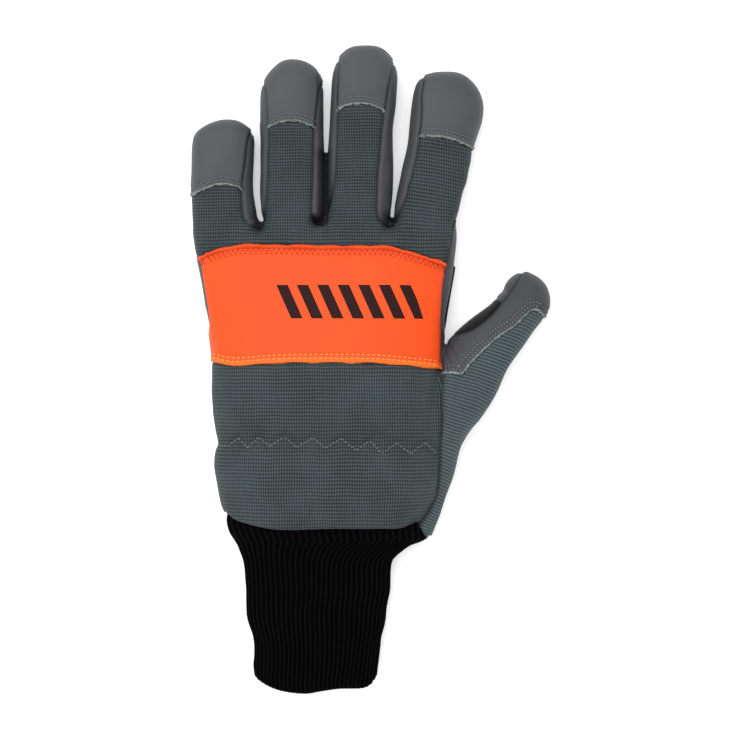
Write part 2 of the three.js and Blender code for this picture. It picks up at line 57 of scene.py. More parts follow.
MM = 0.001
HAND_WIDTH = 118 * MM
BACK_LENGTH = 135.5 * MM
PAD_HEIGHT = 33 * MM
FRAME_SHIFT = np.array([-19.65 * MM, -70.53 * MM])
REST_SINK = 0.9 * MM
SKIN_GRID = 0.62 * MM
# Turns the shares in a section's row into metres.
SECTION_SCALE = np.array([BACK_LENGTH, HAND_WIDTH, HAND_WIDTH, PAD_HEIGHT, PAD_HEIGHT])
# Stands for the distance to something that a panel doesn't have.
FAR = 0.1


class Section(NamedTuple):
    """One cross-section of a straight tube, in shares of the three driving sizes."""

    along: float
    left: float
    right: float
    bottom: float
    top: float


class ThumbSection(NamedTuple):
    """One cross-section of the thumb, square to the curve that it follows."""

    along: float
    across: float
    half: float
    bottom: float
    top: float


class Spot(NamedTuple):
    """A point seen from above, in shares of the hand's width and the back's length."""

    across: float
    along: float


HAND = (
    Section(-0.06, -0.325, 0.285, 0, 0.605),
    Section(-0.03, -0.345, 0.30, 0, 0.68),
    Section(-0.005, -0.355, 0.315, 0, 0.775),
    Section(0.02, -0.364, 0.33, 0, 0.865),
    Section(0.05, -0.372, 0.355, 0, 0.935),
    Section(0.085, -0.383, 0.39, 0, 0.975),
    Section(0.14, -0.397, 0.415, 0, 1.0),
    Section(0.20, -0.406, 0.435, 0, 1.0),
    Section(0.255, -0.402, 0.44, 0, 0.965),
    Section(0.285, -0.391, 0.44, 0, 0.905),
    Section(0.32, -0.401, 0.44, 0, 0.95),
    Section(0.375, -0.412, 0.44, 0, 0.985),
    Section(0.455, -0.417, 0.44, 0, 0.995),
    Section(0.55, -0.416, 0.44, 0, 0.965),
    Section(0.65, -0.427, 0.44, 0, 0.925),
    Section(0.745, -0.446, 0.455, 0, 0.885),
    Section(0.845, -0.468, 0.475, 0, 0.825),
    Section(0.925, -0.487, 0.487, 0, 0.76),
    Section(0.97, -0.495, 0.49, 0, 0.705),
    Section(1.0, -0.495, 0.49, 0, 0.65),
)
LITTLE = (
    Section(0.87, -0.465, -0.245, 0, 0.62),
    Section(0.955, -0.49, -0.245, 0, 0.62),
    Section(1.03, -0.497, -0.257, 0, 0.59),
    Section(1.105, -0.497, -0.271, 0, 0.57),
    Section(1.185, -0.494, -0.269, 0, 0.56),
    Section(1.255, -0.491, -0.266, 0, 0.56),
    Section(1.285, -0.480, -0.270, 0, 0.54),
    Section(1.305, -0.455, -0.290, 0.03, 0.50),
    Section(1.32, -0.425, -0.312, 0.07, 0.43),
    Section(1.33, -0.39, -0.335, 0.12, 0.33),
)
RING = (
    Section(0.87, -0.23, 0.002, 0, 0.70),
    Section(0.955, -0.228, 0.003, 0, 0.70),
    Section(1.03, -0.236, 0.004, 0, 0.65),
    Section(1.105, -0.242, 0.003, 0, 0.62),
    Section(1.235, -0.240, -0.005, 0, 0.60),
    Section(1.345, -0.243, -0.008, 0, 0.60),
    Section(1.43, -0.238, -0.008, 0, 0.59),
    Section(1.47, -0.218, -0.018, 0, 0.56),
    Section(1.495, -0.195, -0.036, 0.03, 0.51),
    Section(1.515, -0.17, -0.065, 0.07, 0.44),
    Section(1.525, -0.145, -0.095, 0.12, 0.34),
)
MIDDLE = (
    Section(0.87, 0.0, 0.235, 0, 0.72),
    Section(0.955, -0.001, 0.235, 0, 0.72),
    Section(1.055, -0.001, 0.246, 0, 0.66),
    Section(1.155, 0.003, 0.254, 0, 0.63),
    Section(1.28, 0.016, 0.251, 0, 0.62),
    Section(1.395, 0.022, 0.264, 0, 0.62),
    Section(1.475, 0.029, 0.269, 0, 0.60),
    Section(1.515, 0.041, 0.258, 0, 0.56),
    Section(1.54, 0.06, 0.24, 0.03, 0.51),
    Section(1.56, 0.082, 0.218, 0.07, 0.44),
    Section(1.57, 0.105, 0.195, 0.12, 0.34),
)
INDEX = (
    Section(0.87, 0.25, 0.475, 0, 0.66),
    Section(0.975, 0.254, 0.488, 0, 0.66),
    Section(1.055, 0.263, 0.502, 0, 0.64),
    Section(1.155, 0.284, 0.535, 0, 0.62),
    Section(1.25, 0.309, 0.552, 0, 0.62),
    Section(1.33, 0.318, 0.58, 0, 0.62),
    Section(1.385, 0.326, 0.586, 0, 0.60),
    Section(1.43, 0.333, 0.569, 0, 0.56),
    Section(1.46, 0.348, 0.541, 0.03, 0.51),
    Section(1.475, 0.375, 0.518, 0.07, 0.44),
    Section(1.485, 0.41, 0.49, 0.12, 0.34),
)
THUMB = (
    ThumbSection(-0.02, 0.228, 0.157, 0, 0.52),
    ThumbSection(0.08, 0.284, 0.149, 0, 0.58),
    ThumbSection(0.20, 0.340, 0.138, 0, 0.65),
    ThumbSection(0.335, 0.396, 0.134, 0, 0.71),
    ThumbSection(0.458, 0.499, 0.130, 0, 0.74),
    ThumbSection(0.580, 0.587, 0.117, 0, 0.73),
    ThumbSection(0.682, 0.696, 0.093, 0, 0.69),
    ThumbSection(0.747, 0.744, 0.093, 0.01, 0.63),
    ThumbSection(0.80, 0.742, 0.068, 0.04, 0.53),
    ThumbSection(0.822, 0.741, 0.042, 0.08, 0.44),
    ThumbSection(0.835, 0.741, 0.015, 0.14, 0.36),
)

# Sewn seams as seen from above.
BACK_EDGE = (
    Spot(0.53, 1.07), Spot(0.488, 0.99), Spot(0.474, 0.925), Spot(0.456, 0.87),
    Spot(0.438, 0.795), Spot(0.429, 0.714), Spot(0.426, 0.64), Spot(0.428, 0.59),
    Spot(0.433, 0.506), Spot(0.434, 0.39), Spot(0.433, 0.26), Spot(0.431, 0.195),
    Spot(0.428, 0.15), Spot(0.422, 0.109), Spot(0.405, 0.076), Spot(0.38, 0.043),
    Spot(0.358, 0.018), Spot(0.343, 0.003), Spot(0.333, -0.05),
)
BAND_TOP = (
    Spot(-0.60, 0.86), Spot(-0.47, 0.884), Spot(-0.449, 0.893), Spot(-0.40, 0.907),
    Spot(-0.34, 0.918), Spot(-0.297, 0.922), Spot(-0.168, 0.921), Spot(-0.021, 0.917),
    Spot(0.10, 0.917), Spot(0.221, 0.916), Spot(0.28, 0.908), Spot(0.35, 0.891),
    Spot(0.41, 0.875), Spot(0.462, 0.860), Spot(0.60, 0.83),
)
BAND_BOTTOM = (
    Spot(-0.60, 0.57), Spot(-0.42, 0.545), Spot(-0.36, 0.534), Spot(-0.306, 0.532),
    Spot(-0.15, 0.541), Spot(0.04, 0.542), Spot(0.2, 0.540), Spot(0.33, 0.53),
    Spot(0.436, 0.521), Spot(0.60, 0.51),
)
WRIST_HEM = (
    Spot(-0.60, 0.07), Spot(-0.40, 0.062), Spot(-0.370, 0.052), Spot(-0.343, 0.034),
    Spot(-0.302, 0.022), Spot(-0.22, 0.006), Spot(-0.131, -0.001), Spot(0.05, 0.002),
    Spot(0.205, 0.003), Spot(0.262, 0.000), Spot(0.302, 0.001), Spot(0.330, 0.008),
    Spot(0.350, 0.013), Spot(0.362, -0.004), Spot(0.378, -0.020), Spot(0.40, -0.022),
    Spot(0.60, -0.022),
)
THUMB_SEAM = (
    Spot(0.40, 0.635), Spot(0.43, 0.638), Spot(0.458, 0.632), Spot(0.475, 0.629),
    Spot(0.494, 0.631), Spot(0.541, 0.649), Spot(0.588, 0.675), Spot(0.628, 0.704),
    Spot(0.654, 0.733), Spot(0.682, 0.765), Spot(0.707, 0.797), Spot(0.731, 0.828),
    Spot(0.752, 0.86), Spot(0.77, 0.90),
)
SADDLE_EDGE = (
    Spot(0.40, 0.512), Spot(0.434, 0.507), Spot(0.474, 0.509), Spot(0.507, 0.506),
    Spot(0.528, 0.530), Spot(0.567, 0.566), Spot(0.608, 0.600), Spot(0.648, 0.630),
    Spot(0.698, 0.657), Spot(0.728, 0.682), Spot(0.757, 0.705), Spot(0.777, 0.712),
    Spot(0.797, 0.702), Spot(0.84, 0.67), Spot(0.90, 0.63),
)
SIDE_LITTLE_RING = (
    Spot(-0.25, 1.33), Spot(-0.281, 1.281), Spot(-0.289, 1.24), Spot(-0.295, 1.192),
    Spot(-0.305, 1.127), Spot(-0.302, 1.05), Spot(-0.294, 1.005), Spot(-0.272, 0.988),
    Spot(-0.250, 0.982), Spot(-0.238, 0.990), Spot(-0.230, 1.02), Spot(-0.222, 1.08),
    Spot(-0.216, 1.175), Spot(-0.213, 1.315), Spot(-0.221, 1.435), Spot(-0.27, 1.50),
)
SIDE_RING_MIDDLE = (
    Spot(0.01, 1.48), Spot(-0.016, 1.44), Spot(-0.027, 1.375), Spot(-0.035, 1.305),
    Spot(-0.038, 1.175), Spot(-0.044, 1.05), Spot(-0.042, 1.008), Spot(-0.030, 0.996),
    Spot(-0.015, 1.002), Spot(0.0, 1.022), Spot(0.014, 1.06), Spot(0.028, 1.11),
    Spot(0.036, 1.175), Spot(0.041, 1.305), Spot(0.047, 1.425), Spot(0.050, 1.534),
    Spot(0.005, 1.60),
)
SIDE_MIDDLE_INDEX = (
    Spot(0.31, 1.57), Spot(0.258, 1.524), Spot(0.244, 1.47), Spot(0.233, 1.415),
    Spot(0.219, 1.305), Spot(0.201, 1.153), Spot(0.197, 1.03), Spot(0.214, 1.0),
    Spot(0.238, 0.990), Spot(0.254, 0.998), Spot(0.270, 1.03), Spot(0.300, 1.088),
    Spot(0.328, 1.185), Spot(0.345, 1.26), Spot(0.357, 1.334), Spot(0.358, 1.41),
    Spot(0.368, 1.472), Spot(0.33, 1.53),
)
CAP_LITTLE = (Spot(-0.60, 1.06), Spot(-0.50, 1.082), Spot(-0.44, 1.103),
              Spot(-0.387, 1.117), Spot(-0.34, 1.112), Spot(-0.306, 1.098), Spot(-0.25, 1.06))
CAP_RING = (Spot(-0.30, 1.28), Spot(-0.213, 1.299), Spot(-0.165, 1.315),
            Spot(-0.118, 1.320), Spot(-0.075, 1.313), Spot(-0.035, 1.296), Spot(0.03, 1.26))
CAP_MIDDLE = (Spot(-0.03, 1.32), Spot(0.041, 1.353), Spot(0.087, 1.371),
              Spot(0.133, 1.375), Spot(0.18, 1.368), Spot(0.224, 1.350), Spot(0.30, 1.31))
CAP_INDEX = (Spot(0.28, 1.26), Spot(0.348, 1.270), Spot(0.40, 1.270), Spot(0.451, 1.265),
             Spot(0.50, 1.252), Spot(0.548, 1.235), Spot(0.66, 1.19))
LITTLE_WRAP = (
    Spot(-0.60, 0.92), Spot(-0.467, 0.893), Spot(-0.448, 0.847), Spot(-0.432, 0.766),
    Spot(-0.422, 0.712), Spot(-0.418, 0.68), Spot(-0.422, 0.64), Spot(-0.60, 0.58),
)

SIDE_WALLS = {
    "side_little_ring": SIDE_LITTLE_RING,
    "side_ring_middle": SIDE_RING_MIDDLE,
    "side_middle_index": SIDE_MIDDLE_INDEX,
}
# Each cap's raw edge, and between which places across its finger lies.
CAPS = {
    "cap_little": (CAP_LITTLE, -0.60, -0.25),
    "cap_ring": (CAP_RING, -0.25, 0.0),
    "cap_middle": (CAP_MIDDLE, 0.0, 0.28),
    "cap_index": (CAP_INDEX, 0.28, 0.70),
}


def plan(spots: Sequence[Spot]) -> np.ndarray:
    """Returns the spots as points in the frame, in metres."""
    points = np.array([(s.across * HAND_WIDTH, s.along * BACK_LENGTH) for s in spots])
    return points + FRAME_SHIFT


def spline(rows: np.ndarray, spacing: float) -> np.ndarray:
    """Draws a smooth curve through rows of numbers.

    Args:
        rows: One row for each point that the curve passes; the first two columns
            are metres in the plane, and the rest are carried along.
        spacing: About how far apart the returned rows are, in metres.

    Returns:
        The rows of the smooth curve, ends included.
    """
    padded = np.vstack([2 * rows[0] - rows[1], rows, 2 * rows[-1] - rows[-2]])
    curve = []
    for i in range(1, len(padded) - 2):
        a, b, c, d = padded[i - 1:i + 3]
        steps = max(2, int(round(np.hypot(*(c - b)[:2]) / spacing)))
        for k in range(steps):
            t = k / steps
            curve.append(0.5 * (2 * b + (c - a) * t + (2 * a - 5 * b + 4 * c - d) * t ** 2
                                + (3 * b - a - 3 * c + d) * t ** 3))
    curve.append(rows[-1])
    return np.array(curve)


def smooth_line(spots: Sequence[Spot], spacing: float = 2.5 * MM) -> np.ndarray:
    """Returns a seam's spots as a smooth open line in the frame."""
    return spline(plan(spots), spacing)


def line_distance(points: np.ndarray, line: np.ndarray) -> tuple[np.ndarray, np.ndarray]:
    """Measures how far points lie from an open line seen from above.

    Args:
        points: Points in the plane, one row each.
        line: The line's points in order.

    Returns:
        The distance of each point, above zero on the line's left as it runs, and how
        far along the line its nearest place is.
    """
    best = np.full(len(points), np.inf)
    side = np.zeros(len(points))
    place = np.zeros(len(points))
    run = 0.0
    for start, end in zip(line[:-1], line[1:]):
        step = end - start
        length = float(np.hypot(*step))
        rel = points - start
        t = np.clip((rel @ step) / length ** 2, 0, 1)
        off = rel - t[:, None] * step
        gap = np.hypot(off[:, 0], off[:, 1])
        square = (step[0] * rel[:, 1] - step[1] * rel[:, 0]) / length
        # At a corner two steps are as near: the one more squarely faced tells the side.
        nearer = (gap < best - 1e-9) | ((gap < best + 1e-9) & (np.abs(square) > np.abs(side)))
        best[nearer] = gap[nearer]
        side[nearer] = square[nearer]
        place[nearer] = (run + t * length)[nearer]
        run += length
    return best * np.where(side < 0, -1.0, 1.0), place


def inside_distance(points: np.ndarray, outline: np.ndarray) -> np.ndarray:
    """Measures how deep points lie inside a closed outline seen from above.

    Args:
        points: Points in the plane, one row each.
        outline: The outline's points in order, without the first one repeated.

    Returns:
        The distance to the outline, below zero for points outside it.
    """
    near = np.all((points > outline.min(0) - 8 * MM) & (points < outline.max(0) + 8 * MM),
                  axis=1)
    if not near.all():
        depth = np.full(len(points), -8 * MM)
        if near.any():
            depth[near] = inside_distance(points[near], outline)
        return depth
    closed = np.vstack([outline, outline[:1]])
    best = np.full(len(points), np.inf)
    crossed = np.zeros(len(points), dtype=bool)
    for start, end in zip(closed[:-1], closed[1:]):
        step = end - start
        size = float(step @ step)
        if size == 0:
            continue
        rel = points - start
        t = np.clip((rel @ step) / size, 0, 1)
        off = rel - t[:, None] * step
        best = np.minimum(best, np.hypot(off[:, 0], off[:, 1]))
        spans = (start[1] > points[:, 1]) != (end[1] > points[:, 1])
        if step[1] != 0:
            at = start[0] + (points[:, 1] - start[1]) / step[1] * step[0]
            crossed ^= spans & (points[:, 0] < at)
    return np.where(crossed, best, -best)


def ripple(points: np.ndarray, wavelength: float, seed: int, stretch=(1, 1, 1)) -> np.ndarray:
    """Sums a few slanting waves into soft uneven relief.

    Args:
        points: Points in the frame, one row each.
        wavelength: About how far apart the crests are, in metres.
        seed: Picks the waves, the same ones each time.
        stretch: How many times longer the waves are along X, Y and Z.

    Returns:
        A number from about -1 to 1 for each point.
    """
    rng = np.random.default_rng(seed)
    total = np.zeros(len(points))
    for _ in range(9):
        way = rng.normal(size=3)
        way /= np.linalg.norm(way)
        pitch = wavelength * rng.uniform(0.7, 1.7)
        total += np.sin(points @ (way / np.array(stretch)) * (2 * math.pi / pitch)
                        + rng.uniform(0, 6.28))
    return total / 4.0


def bump(distance: np.ndarray, width: float) -> np.ndarray:
    """Returns a soft hump of height 1 that fades over a width."""
    return np.exp(-(distance / width) ** 2)


def ramp(value: np.ndarray, start: float, end: float) -> np.ndarray:
    """Returns 0 before start and 1 after end, turning smoothly between them."""
    t = np.clip((value - start) / (end - start), 0, 1)
    return t * t * (3 - 2 * t)


def linear(hex_colour: str) -> tuple[float, float, float, float]:
    """Turns an sRGB hex colour such as "4b5457" into Blender's linear colour."""
    values = [int(hex_colour[i:i + 2], 16) / 255 for i in (0, 2, 4)]
    turned = [v / 12.92 if v <= 0.04045 else ((v + 0.055) / 1.055) ** 2.4 for v in values]
    return (turned[0], turned[1], turned[2], 1.0)


# The soft form

@dataclass
class Tube:
    """A tube lofted through oval sections: crown and sole say how square it is."""

    crown: float = 2.8
    sole: float = 4.0
    middle: float = 0.45
    segments: int = 56

    def oval(self, half: float, low: float, high: float) -> np.ndarray:
        """Returns one section's outline as sideways and upward places."""
        centre = low + (high - low) * self.middle
        angle = np.arange(self.segments) / self.segments * 2 * math.pi
        cos, sin = np.cos(angle), np.sin(angle)
        power = np.where(sin >= 0, 2 / self.crown, 2 / self.sole)
        reach = np.where(sin >= 0, high - centre, centre - low)
        side = half * np.sign(cos) * np.abs(cos) ** power
        rise = centre + reach * np.sign(sin) * np.abs(sin) ** power
        return np.column_stack([side, np.maximum(rise, 0.0)])

    def loft(self, bm: bmesh.types.BMesh, rings: Sequence[np.ndarray]) -> None:
        """Wraps a grid round the rings of points and closes both ends."""
        around, last = len(rings[0]), len(rings) - 1
        made = bmesh.ops.create_grid(bm, x_segments=around, y_segments=last,
                                     size=0.5)["verts"]
        for vert in made:
            column = round((vert.co.x + 0.5) * around) % around
            vert.co = Vector(rings[round((vert.co.y + 0.5) * last)][column])
        bmesh.ops.remove_doubles(bm, verts=made, dist=1e-6)
        open_edges = [edge for edge in bm.edges if edge.is_boundary]
        bmesh.ops.holes_fill(bm, edges=open_edges, sides=0)


@dataclass
class StraightTube(Tube):
    """The hand or a finger, lofted along Y."""

    rows: Sequence[Section] = HAND

    def table(self) -> np.ndarray:
        """Returns along, left, right, bottom and top in metres, smooth between rows."""
        return spline(np.array(self.rows) * SECTION_SCALE, 2.2 * MM)

    def build(self, bm: bmesh.types.BMesh) -> None:
        """Adds the closed tube to bm."""
        rings = []
        for along, left, right, bottom, top in self.table():
            outline = self.oval((right - left) / 2, bottom - REST_SINK, top)
            x = (left + right) / 2 + outline[:, 0] + FRAME_SHIFT[0]
            y = np.full(len(x), along + FRAME_SHIFT[1])
            rings.append(np.column_stack([x, y, outline[:, 1]]))
        self.loft(bm, rings)

    def at(self, y: np.ndarray) -> dict[str, np.ndarray]:
        """Returns the tube's centre, half width and top at places along Y."""
        table = self.table()
        order = np.argsort(table[:, 0])
        along, left, right, _, top = table[order].T
        y = y - FRAME_SHIFT[1]
        return {
            "centre": np.interp(y, along, (left + right) / 2) + FRAME_SHIFT[0],
            "half": np.interp(y, along, (right - left) / 2),
            "top": np.interp(y, along, top),
        }

    def reach(self) -> tuple[float, float]:
        """Returns where along Y the tube starts and ends."""
        ends = np.array([self.rows[0].along, self.rows[-1].along]) * BACK_LENGTH
        return tuple(ends + FRAME_SHIFT[1])


@dataclass
class ThumbTube(Tube):
    """The thumb and its gusset, lofted along a curve in the plane of the palm."""

    rows: Sequence[ThumbSection] = THUMB
    crown: float = 2.3
    sole: float = 3.6

    def build(self, bm: bmesh.types.BMesh) -> None:
        """Adds the closed tube to bm."""
        rows = (np.array(self.rows) * SECTION_SCALE)[:, [1, 0, 2, 3, 4]]
        table = spline(rows, 2.0 * MM)
        ahead = np.gradient(table[:, :2], axis=0)
        ahead /= np.linalg.norm(ahead, axis=1)[:, None]
        rings = []
        for (across, along, half, bottom, top), way in zip(table, ahead):
            outline = self.oval(max(half, 0.6 * MM), bottom - REST_SINK, top)
            x = across + way[1] * outline[:, 0] + FRAME_SHIFT[0]
            y = along - way[0] * outline[:, 0] + FRAME_SHIFT[1]
            rings.append(np.column_stack([x, y, outline[:, 1]]))
        self.loft(bm, rings)


HAND_TUBE = StraightTube(crown=2.4, sole=4.5, middle=0.42, segments=96, rows=HAND)
FINGER_TUBES = tuple(StraightTube(rows=rows) for rows in (LITTLE, RING, MIDDLE, INDEX))


@dataclass
class Skin:
    """The glove's whole outer skin as one smooth closed mesh, before it is cut."""

    grid: float = SKIN_GRID
    smoothing: int = 14
    swell_mm: float = 0.2
    mesh: bpy.types.Mesh = field(init=False)
    zones: "Zones" = field(init=False)

    def build(self) -> None:
        """Lofts the tubes, draws them together and softens what is left."""
        bm = bmesh.new()
        for tube in (HAND_TUBE, *FINGER_TUBES, ThumbTube()):
            tube.build(bm)
        bmesh.ops.recalc_face_normals(bm, faces=bm.faces[:])
        rough = bpy.data.meshes.new("skin_rough")
        bm.to_mesh(rough)
        bm.free()
        holder = placed("skin_rough", rough)
        remesh = holder.modifiers.new("draw_together", "REMESH")
        remesh.mode = "VOXEL"
        remesh.voxel_size = self.grid
        depsgraph = bpy.context.evaluated_depsgraph_get()
        self.mesh = bpy.data.meshes.new_from_object(holder.evaluated_get(depsgraph))
        bpy.data.objects.remove(holder)
        bm = bmesh.new()
        bm.from_mesh(self.mesh)
        for _ in range(self.smoothing):
            bmesh.ops.smooth_vert(bm, verts=bm.verts[:], factor=0.5, use_axis_x=True,
                                  use_axis_y=True, use_axis_z=True)
        bm.normal_update()
        for vert in bm.verts:
            vert.co += vert.normal * self.swell_mm * MM
            vert.co.z = max(vert.co.z, 0.0)
        bm.to_mesh(self.mesh)
        bm.free()
        points = coordinates(self.mesh)
        for name, values in (("home", points), ("way", normals(self.mesh))):
            layer = self.mesh.attributes.new(name, "FLOAT_VECTOR", "POINT")
            layer.data.foreach_set("vector", values.astype(np.float32).ravel())
        self.zones = Zones(points)

    def cut(self, name: str, bounds: Sequence[np.ndarray]) -> bpy.types.Mesh:
        """Cuts a panel out of the skin.

        Args:
            name: The new mesh's name.
            bounds: For each edge of the panel, how deep the skin's points lie inside it.

        Returns:
            The part of the skin where every one of the bounds is above zero.
        """
        marked = self.mesh.copy()
        for number, bound in enumerate(bounds):
            write_values(marked, f"bound_{number}", bound)
        bm = bmesh.new()
        bm.from_mesh(marked)
        outside = np.min(bounds, axis=0) < -3 * self.grid
        bmesh.ops.delete(bm, geom=[v for v, out in zip(bm.verts, outside) if out],
                         context="VERTS")
        home = bm.verts.layers.float_vector["home"]
        for number in range(len(bounds)):
            layer = bm.verts.layers.float[f"bound_{number}"]
            for vert in bm.verts:
                vert.co.z = vert[layer]
            bmesh.ops.bisect_plane(
                bm, geom=bm.verts[:] + bm.edges[:] + bm.faces[:], dist=0.03 * MM,
                plane_co=(0, 0, 0), plane_no=(0, 0, 1), clear_inner=True)
            for vert in bm.verts:
                vert.co = vert[home]
        mesh = bpy.data.meshes.new(name)
        bm.to_mesh(mesh)
        bm.free()
        bpy.data.meshes.remove(marked)
        for number in range(len(bounds)):
            mesh.attributes.remove(mesh.attributes[f"bound_{number}"])
        return mesh


def placed(name: str, data: bpy.types.ID) -> bpy.types.Object:
    """Puts a mesh, a lamp or a camera into the scene as an object."""
    made = bpy.data.objects.new(name, data)
    bpy.context.scene.collection.objects.link(made)
    return made


def coordinates(mesh: bpy.types.Mesh) -> np.ndarray:
    """Returns a mesh's points as rows of an array."""
    flat = np.empty(len(mesh.vertices) * 3, dtype=np.float32)
    mesh.vertices.foreach_get("co", flat)
    return flat.reshape(-1, 3).astype(float)


def normals(mesh: bpy.types.Mesh) -> np.ndarray:
    """Returns a mesh's vertex normals as rows of an array."""
    flat = np.empty(len(mesh.vertices) * 3, dtype=np.float32)
    mesh.vertex_normals.foreach_get("vector", flat)
    return flat.reshape(-1, 3).astype(float)


# Where each panel lies on the skin: every function below gives, for points on the skin,
# how deep they lie inside the panel, below zero outside it.


# The height of the seam between back and palm, in shares of the pad's height, at places
# along the hand.
SIDE_SEAM_ALONG = (-0.3, 0.5, 1.0, 1.8)
SIDE_SEAM_HEIGHT = (0.27, 0.27, 0.21, 0.17)


def side_seam(points: np.ndarray) -> np.ndarray:
    """Returns how far points lie above the seam between back and palm."""
    along = (points[:, 1] - FRAME_SHIFT[1]) / BACK_LENGTH
    return points[:, 2] - np.interp(along, SIDE_SEAM_ALONG, SIDE_SEAM_HEIGHT) * PAD_HEIGHT


class Zones:
    """How points on the skin lie to each seam; each distance is worked out when asked."""

    def __init__(self, points: np.ndarray) -> None:
        """Keeps the points, and their places in shares of the driving sizes."""
        self.points = points
        self.flat = points[:, :2]
        self.along = (points[:, 1] - FRAME_SHIFT[1]) / BACK_LENGTH
        self.across = (points[:, 0] - FRAME_SHIFT[0]) / HAND_WIDTH
        self.upper = side_seam(points)

    @cached_property
    def right_of_back(self) -> np.ndarray:
        """Distance beyond the back's edge on the thumb side."""
        return line_distance(self.flat, smooth_line(BACK_EDGE))[0]

    @cached_property
    def band_top(self) -> tuple[np.ndarray, np.ndarray]:
        """Distance above the band's upper edge, and how far along it."""
        return line_distance(self.flat, smooth_line(BAND_TOP))

    @cached_property
    def band_foot(self) -> tuple[np.ndarray, np.ndarray]:
        """Distance above the band's lower edge, and how far along it."""
        return line_distance(self.flat, smooth_line(BAND_BOTTOM))

    @cached_property
    def above_hem(self) -> np.ndarray:
        """Distance above the wrist hem."""
        return line_distance(self.flat, smooth_line(WRIST_HEM))[0]

    @cached_property
    def above_thumb_seam(self) -> np.ndarray:
        """Distance inwards of the seam along the thumb."""
        return line_distance(self.flat, smooth_line(THUMB_SEAM))[0]

    @cached_property
    def saddle_edge(self) -> tuple[np.ndarray, np.ndarray]:
        """Distance inside the saddle's raw edge, and how far along it."""
        return line_distance(self.flat, smooth_line(SADDLE_EDGE))

    @cached_property
    def sides(self) -> dict[str, np.ndarray]:
        """Distance inside each leather wall between two fingers."""
        return {name: inside_distance(self.flat, smooth_line(outline))
                for name, outline in SIDE_WALLS.items()}

    @cached_property
    def side(self) -> np.ndarray:
        """Distance inside the nearest wall between two fingers."""
        return np.max(list(self.sides.values()), axis=0)

    @cached_property
    def caps(self) -> dict[str, np.ndarray]:
        """Distance beyond each fingertip cap's raw edge."""
        return {name: self._cap(edge, low, high)
                for name, (edge, low, high) in CAPS.items()}

    @cached_property
    def cap(self) -> np.ndarray:
        """Distance beyond the nearest cap's raw edge."""
        return np.max(list(self.caps.values()), axis=0)

    @cached_property
    def little_wrap(self) -> np.ndarray:
        """Distance inside the strip of palm leather beside the band."""
        return inside_distance(self.flat, plan(LITTLE_WRAP))

    @cached_property
    def wrap(self) -> np.ndarray:
        """Distance inside the places where palm leather comes up over the side."""
        top = (1.08 - self.along) * BACK_LENGTH
        index = np.minimum.reduce([self.right_of_back, self.above_thumb_seam, top])
        thumb = np.minimum(self.above_thumb_seam, self.right_of_back)
        return np.maximum.reduce([index, thumb, self.little_wrap])

    @cached_property
    def palm_patch(self) -> np.ndarray:
        """Distance inside the palm's reinforcement."""
        return np.minimum(inside_distance(self.flat, plan(PALM_PATCH)),
                          PATCH_HEIGHT - self.points[:, 2])

    @cached_property
    def thumb_patch(self) -> np.ndarray:
        """Distance inside the thumb's reinforcement."""
        return np.minimum(inside_distance(self.flat, plan(THUMB_PATCH)),
                          self.points[:, 2] - THUMB_PATCH_BASE)

    def _cap(self, edge: Sequence[Spot], low: float, high: float) -> np.ndarray:
        """Returns how far points lie beyond a fingertip cap's raw edge.

        Args:
            edge: The raw edge as seen from above.
            low: Where the finger ends on the little-finger side, in shares of the width.
            high: Where it ends on the thumb side.

        Returns:
            The distance, below zero on the hand's side of the edge.
        """
        beyond, _ = line_distance(self.flat, smooth_line(edge))
        within_finger = np.minimum(self.across - low, high - self.across) * HAND_WIDTH
        return np.minimum(beyond, within_finger)


# Sewing and folds, as seen from above.
QUILT = (
    Spot(-0.384, 0.273), Spot(-0.373, 0.279), Spot(-0.358, 0.273), Spot(-0.317, 0.302),
    Spot(-0.280, 0.271), Spot(-0.239, 0.305), Spot(-0.198, 0.276), Spot(-0.145, 0.308),
    Spot(-0.101, 0.273), Spot(-0.041, 0.305), Spot(0.004, 0.271), Spot(0.063, 0.302),
    Spot(0.117, 0.264), Spot(0.168, 0.295), Spot(0.209, 0.253), Spot(0.265, 0.287),
    Spot(0.317, 0.253), Spot(0.371, 0.286), Spot(0.410, 0.255),
)
PALM_PATCH = (
    Spot(-0.2, 0.3), Spot(-0.2, 0.86), Spot(0.6, 0.86), Spot(0.56, 0.78),
    Spot(0.47, 0.665), Spot(0.38, 0.62), Spot(0.34, 0.3),
)
THUMB_PATCH = (
    Spot(0.477, 0.631), Spot(0.494, 0.631), Spot(0.541, 0.649), Spot(0.588, 0.675),
    Spot(0.654, 0.733), Spot(0.60, 0.79), Spot(0.47, 0.70),
)
PATCH_HEIGHT = 10.5 * MM
THUMB_PATCH_BASE = 3.2 * MM


class Fold(NamedTuple):
    """A crease in the skin: its line, how deep it is in mm, and its width in mm."""

    line: tuple[Spot, ...]
    depth: float
    width: float


